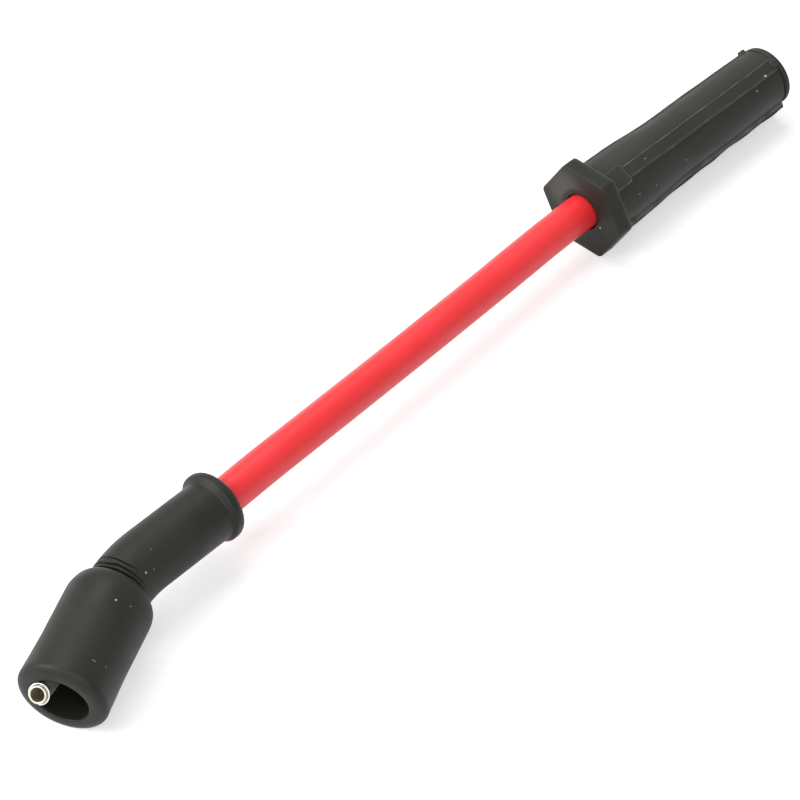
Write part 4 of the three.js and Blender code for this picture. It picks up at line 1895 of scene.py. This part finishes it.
@dataclass
class CoilEnd:
    """The coil boot with its leaning terminal and spring ring.

    Args:
        boot: the boot.
        wire: the wire that its crimp holds.
        socket_bore: inner width of the terminal's socket.
        socket_proud: how far the socket stands out of the cup.
        from_edge: gap between the socket and the edge of the bore.
        tip_length: length of the tip's turn.
        tip_degrees: angle of the tip's turn.
        tip_side: turn round the terminal of the side that the tip leans to.
        closed: length behind the mouth over which the seam is shut.
        lip_height: of the lip at the socket's mouth.
    """

    boot: CoilBoot
    wire: IgnitionWire
    socket_bore: float = 3.6
    socket_proud: float = 2.5
    from_edge: float = 0.45
    tip_length: float = 3.5
    tip_degrees: float = 36.0
    tip_side: float = 102.0
    closed: float = 5.0
    lip_height: float = 0.075

    def terminal(self, start: float) -> CrimpTerminal:
        """The terminal, whose socket passes the bore's edge and leans aside there.

        The line from the middle of its first turn to the edge of the bore, on the
        outside of the elbow, gives the lean and the length: the lean adds the angle
        under which the socket's radius and its gap are seen, and the tip's turn is
        centred at that edge.

        Args:
            start: distance from the collar's face to the crimp's open end.

        Returns:
            The terminal.
        """
        boot = self.boot
        made = CrimpTerminal(
            "coil_terminal",
            "coil_crimp_terminal",
            socket_bore=self.socket_bore,
            socket_length=0.0,
            lip_height=self.lip_height,
            spring_from_lip=1.2,
        )
        first_turn = made.crimp_length + made.taper_length / 2
        place = np.array([boot.cup_end - boot.bore_round, -boot.bore, 0.0])
        edge = bent(place, boot.elbow_start, boot.bend_length, math.radians(boot.bend_degrees))
        reach = math.hypot(edge[0] - start - first_turn, edge[1])
        aside = self.socket_bore / 2 + made.sheet + self.from_edge
        along = math.sqrt(reach**2 - aside**2)
        made.lean = math.atan2(edge[1], edge[0] - start - first_turn) + math.atan2(aside, along)
        proud = boot.bore_round + self.socket_proud
        made.socket_length = first_turn + along + proud - made.taper_end
        made.tip = TipTurn(
            first_turn + along - self.tip_length / 2,
            self.tip_length,
            math.radians(self.tip_degrees),
            math.radians(self.tip_side),
            self.closed,
        )
        return made

    def build(self, plug: Placing) -> list[bpy.types.Object]:
        """Makes the three pieces on the neck's axes.

        Args:
            plug: the plug boot's axes, from which the neck's follow.

        Returns:
            The boot, the terminal and the ring.
        """
        placing, inside = self.boot.placing(plug, self.wire)
        start = inside - self.boot.crimp_lap
        seated = Placing(placing.origin + start * placing.axes[0], placing.axes)
        terminal = self.terminal(start)
        return [
            self.boot.build(placing, inside),
            terminal.build(seated),
            SpringRing(terminal, "coil_clip_ring").build(seated),
        ]


# Studio


@dataclass
class Lamp:
    """A soft rectangular lamp that points at the part.

    Args:
        name: its name.
        place: where it hangs, in metres.
        size: its side in metres.
        power: in watts.
    """

    name: str
    place: tuple[float, float, float]
    size: float
    power: float

    def build(self, target: Vector) -> None:
        """Hangs the lamp and turns it to the target.

        Args:
            target: the place that it points at.
        """
        light = bpy.data.lights.new(self.name, "AREA")
        light.shape = "SQUARE"
        light.size = self.size
        light.energy = self.power
        lamp = bpy.data.objects.new(self.name, light)
        lamp.location = self.place
        lamp.rotation_euler = (target - Vector(self.place)).to_track_quat("-Z", "Y").to_euler()
        bpy.context.scene.collection.objects.link(lamp)


@dataclass
class Studio:
    """Floor, lamps, surroundings and camera.

    Args:
        target: what the camera and the lamps point at.
        surroundings: the world's strength where it lights.
        floor_glow: what is added to the lit floor where it is seen.
        floor_half: half the floor's side.
        floor_drop: how far the floor is under zero, so that no face meets it.
        distance: of the camera from the target.
        elevation: of the camera over the floor, in degrees.
        azimuth: of the camera round the part, in degrees.
        lens: the camera's focal length in millimetres.
        sensor: the width of its sensor in millimetres.
    """

    target: Vector
    lamps: tuple[Lamp, ...] = (
        Lamp("window_lamp", (-1.15, 0.6, 0.85), 0.9, 21.0),
        Lamp("front_lamp", (-0.8, -0.8, 0.9), 0.9, 8.0),
        Lamp("top_lamp", (0.1, 0.45, 1.25), 0.9, 9.0),
    )
    surroundings: float = 0.34
    floor_colour: Colour = (0.7, 0.705, 0.71)
    floor_glow: float = 0.48
    floor_half: float = 2.0
    floor_drop: float = 0.00005
    distance: float = 1.09
    elevation: float = 44.5
    azimuth: float = 47.0
    lens: float = 189.58
    sensor: float = 36.0

    @staticmethod
    def seen_rays(wiring: Wiring) -> bpy.types.NodeSocket:
        """Tells the rays that are seen from those that light.

        Args:
            wiring: of the tree that asks.

        Returns:
            1 for the camera's rays and for those seen in or through a surface.
        """
        path = wiring.node("ShaderNodeLightPath").outputs
        seen = wiring.maths("MAXIMUM", path["Is Camera Ray"], path["Is Glossy Ray"])
        return wiring.maths("MAXIMUM", seen, path["Is Transmission Ray"])

    def build_floor(self) -> None:
        """Lays a pale floor that keeps the shadow and looks white where it is lit."""
        signs = ((-1, -1), (1, -1), (1, 1), (-1, 1))
        half, height = self.floor_half, -self.floor_drop
        corners = [(along * half, across * half, height) for along, across in signs]
        mesh = bpy.data.meshes.new("studio_floor")
        mesh.from_pydata(corners, [], [(0, 1, 2, 3)])
        floor = bpy.data.objects.new("studio_floor", mesh)
        bpy.context.scene.collection.objects.link(floor)
        made = bpy.data.materials.new("pale_floor")
        made.use_nodes = True
        wiring = Wiring(made.node_tree)
        matt = wiring.node("ShaderNodeBsdfDiffuse", Color=self.floor_colour)
        glow = wiring.node(
            "ShaderNodeEmission",
            Color=(1.0, 1.0, 1.0),
            Strength=wiring.maths("MULTIPLY", self.seen_rays(wiring), self.floor_glow),
        )
        both = wiring.node("ShaderNodeAddShader", in_0=matt.outputs[0], in_1=glow.outputs[0])
        wiring.node("ShaderNodeOutputMaterial", Surface=both.outputs[0])
        mesh.materials.append(made)

    def build_surroundings(self) -> None:
        """Makes the world white where it is seen, and softer where it lights."""
        world = bpy.data.worlds.new("white_room")
        bpy.context.scene.world = world
        world.use_nodes = True
        wiring = Wiring(world.node_tree)
        strength = wiring.ranged(self.seen_rays(wiring), (0.0, 1.0), (self.surroundings, 1.0))
        backdrop = wiring.node("ShaderNodeBackground", Color=(1.0, 1.0, 1.0), Strength=strength)
        wiring.node("ShaderNodeOutputWorld", Surface=backdrop.outputs[0])

    def build_camera(self) -> None:
        """Sets the camera at the photograph's angle, level and without shift."""
        data = bpy.data.cameras.new("photo_camera")
        data.lens = self.lens
        data.sensor_width = self.sensor
        data.clip_start, data.clip_end = 0.01, 20
        camera = bpy.data.objects.new("photo_camera", data)
        up, round_by = math.radians(self.elevation), math.radians(self.azimuth)
        level = math.cos(up)
        back = Vector((-math.sin(round_by) * level, -math.cos(round_by) * level, math.sin(up)))
        camera.location = self.target + back * self.distance
        camera.rotation_euler = (-back).to_track_quat("-Z", "Y").to_euler()
        bpy.context.scene.collection.objects.link(camera)
        bpy.context.scene.camera = camera

    def build(self) -> None:
        """Builds the studio round the part."""
        self.build_floor()
        self.build_surroundings()
        for lamp in self.lamps:
            lamp.build(self.target)
        self.build_camera()
        bpy.context.scene.view_settings.view_transform = "Standard"


def plug_placing(boot: PlugBoot) -> Placing:
    """The plug boot's axes: from the flange face's centre, X along the boot.

    Args:
        boot: the boot, whose flange lies on the floor.

    Returns:
        The axes, from the places of the CAD nodes.
    """
    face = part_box("plug_boot")[0].x / MM
    low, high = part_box("plug_terminal")
    return Placing(np.array([face, (low.y + high.y) / 2 / MM, boot.flats / 2]), np.eye(3))


def main() -> None:
    """Builds the studio, the shared effects and the pieces, and logs each piece."""
    logging.basicConfig(level=logging.INFO, format="%(name)s: %(message)s")
    Studio(Vector((-14.015, -3.24, 12.0)) * MM).build()
    for build_effect in (grain_group, specks_group, scuffs_group, spot_group, tint_group):
        build_effect()
    wire, plug_boot, coil_boot = IgnitionWire(), PlugBoot(), CoilBoot()
    placing = plug_placing(plug_boot)
    pieces = [wire.build(placing)]
    pieces += PlugEnd(plug_boot, wire).build(placing)
    pieces += CoilEnd(coil_boot, wire).build(placing)
    for piece in pieces:
        LOG.info("%s: %d faces", piece.name, len(piece.data.polygons))


if __name__ == "__main__":
    main()
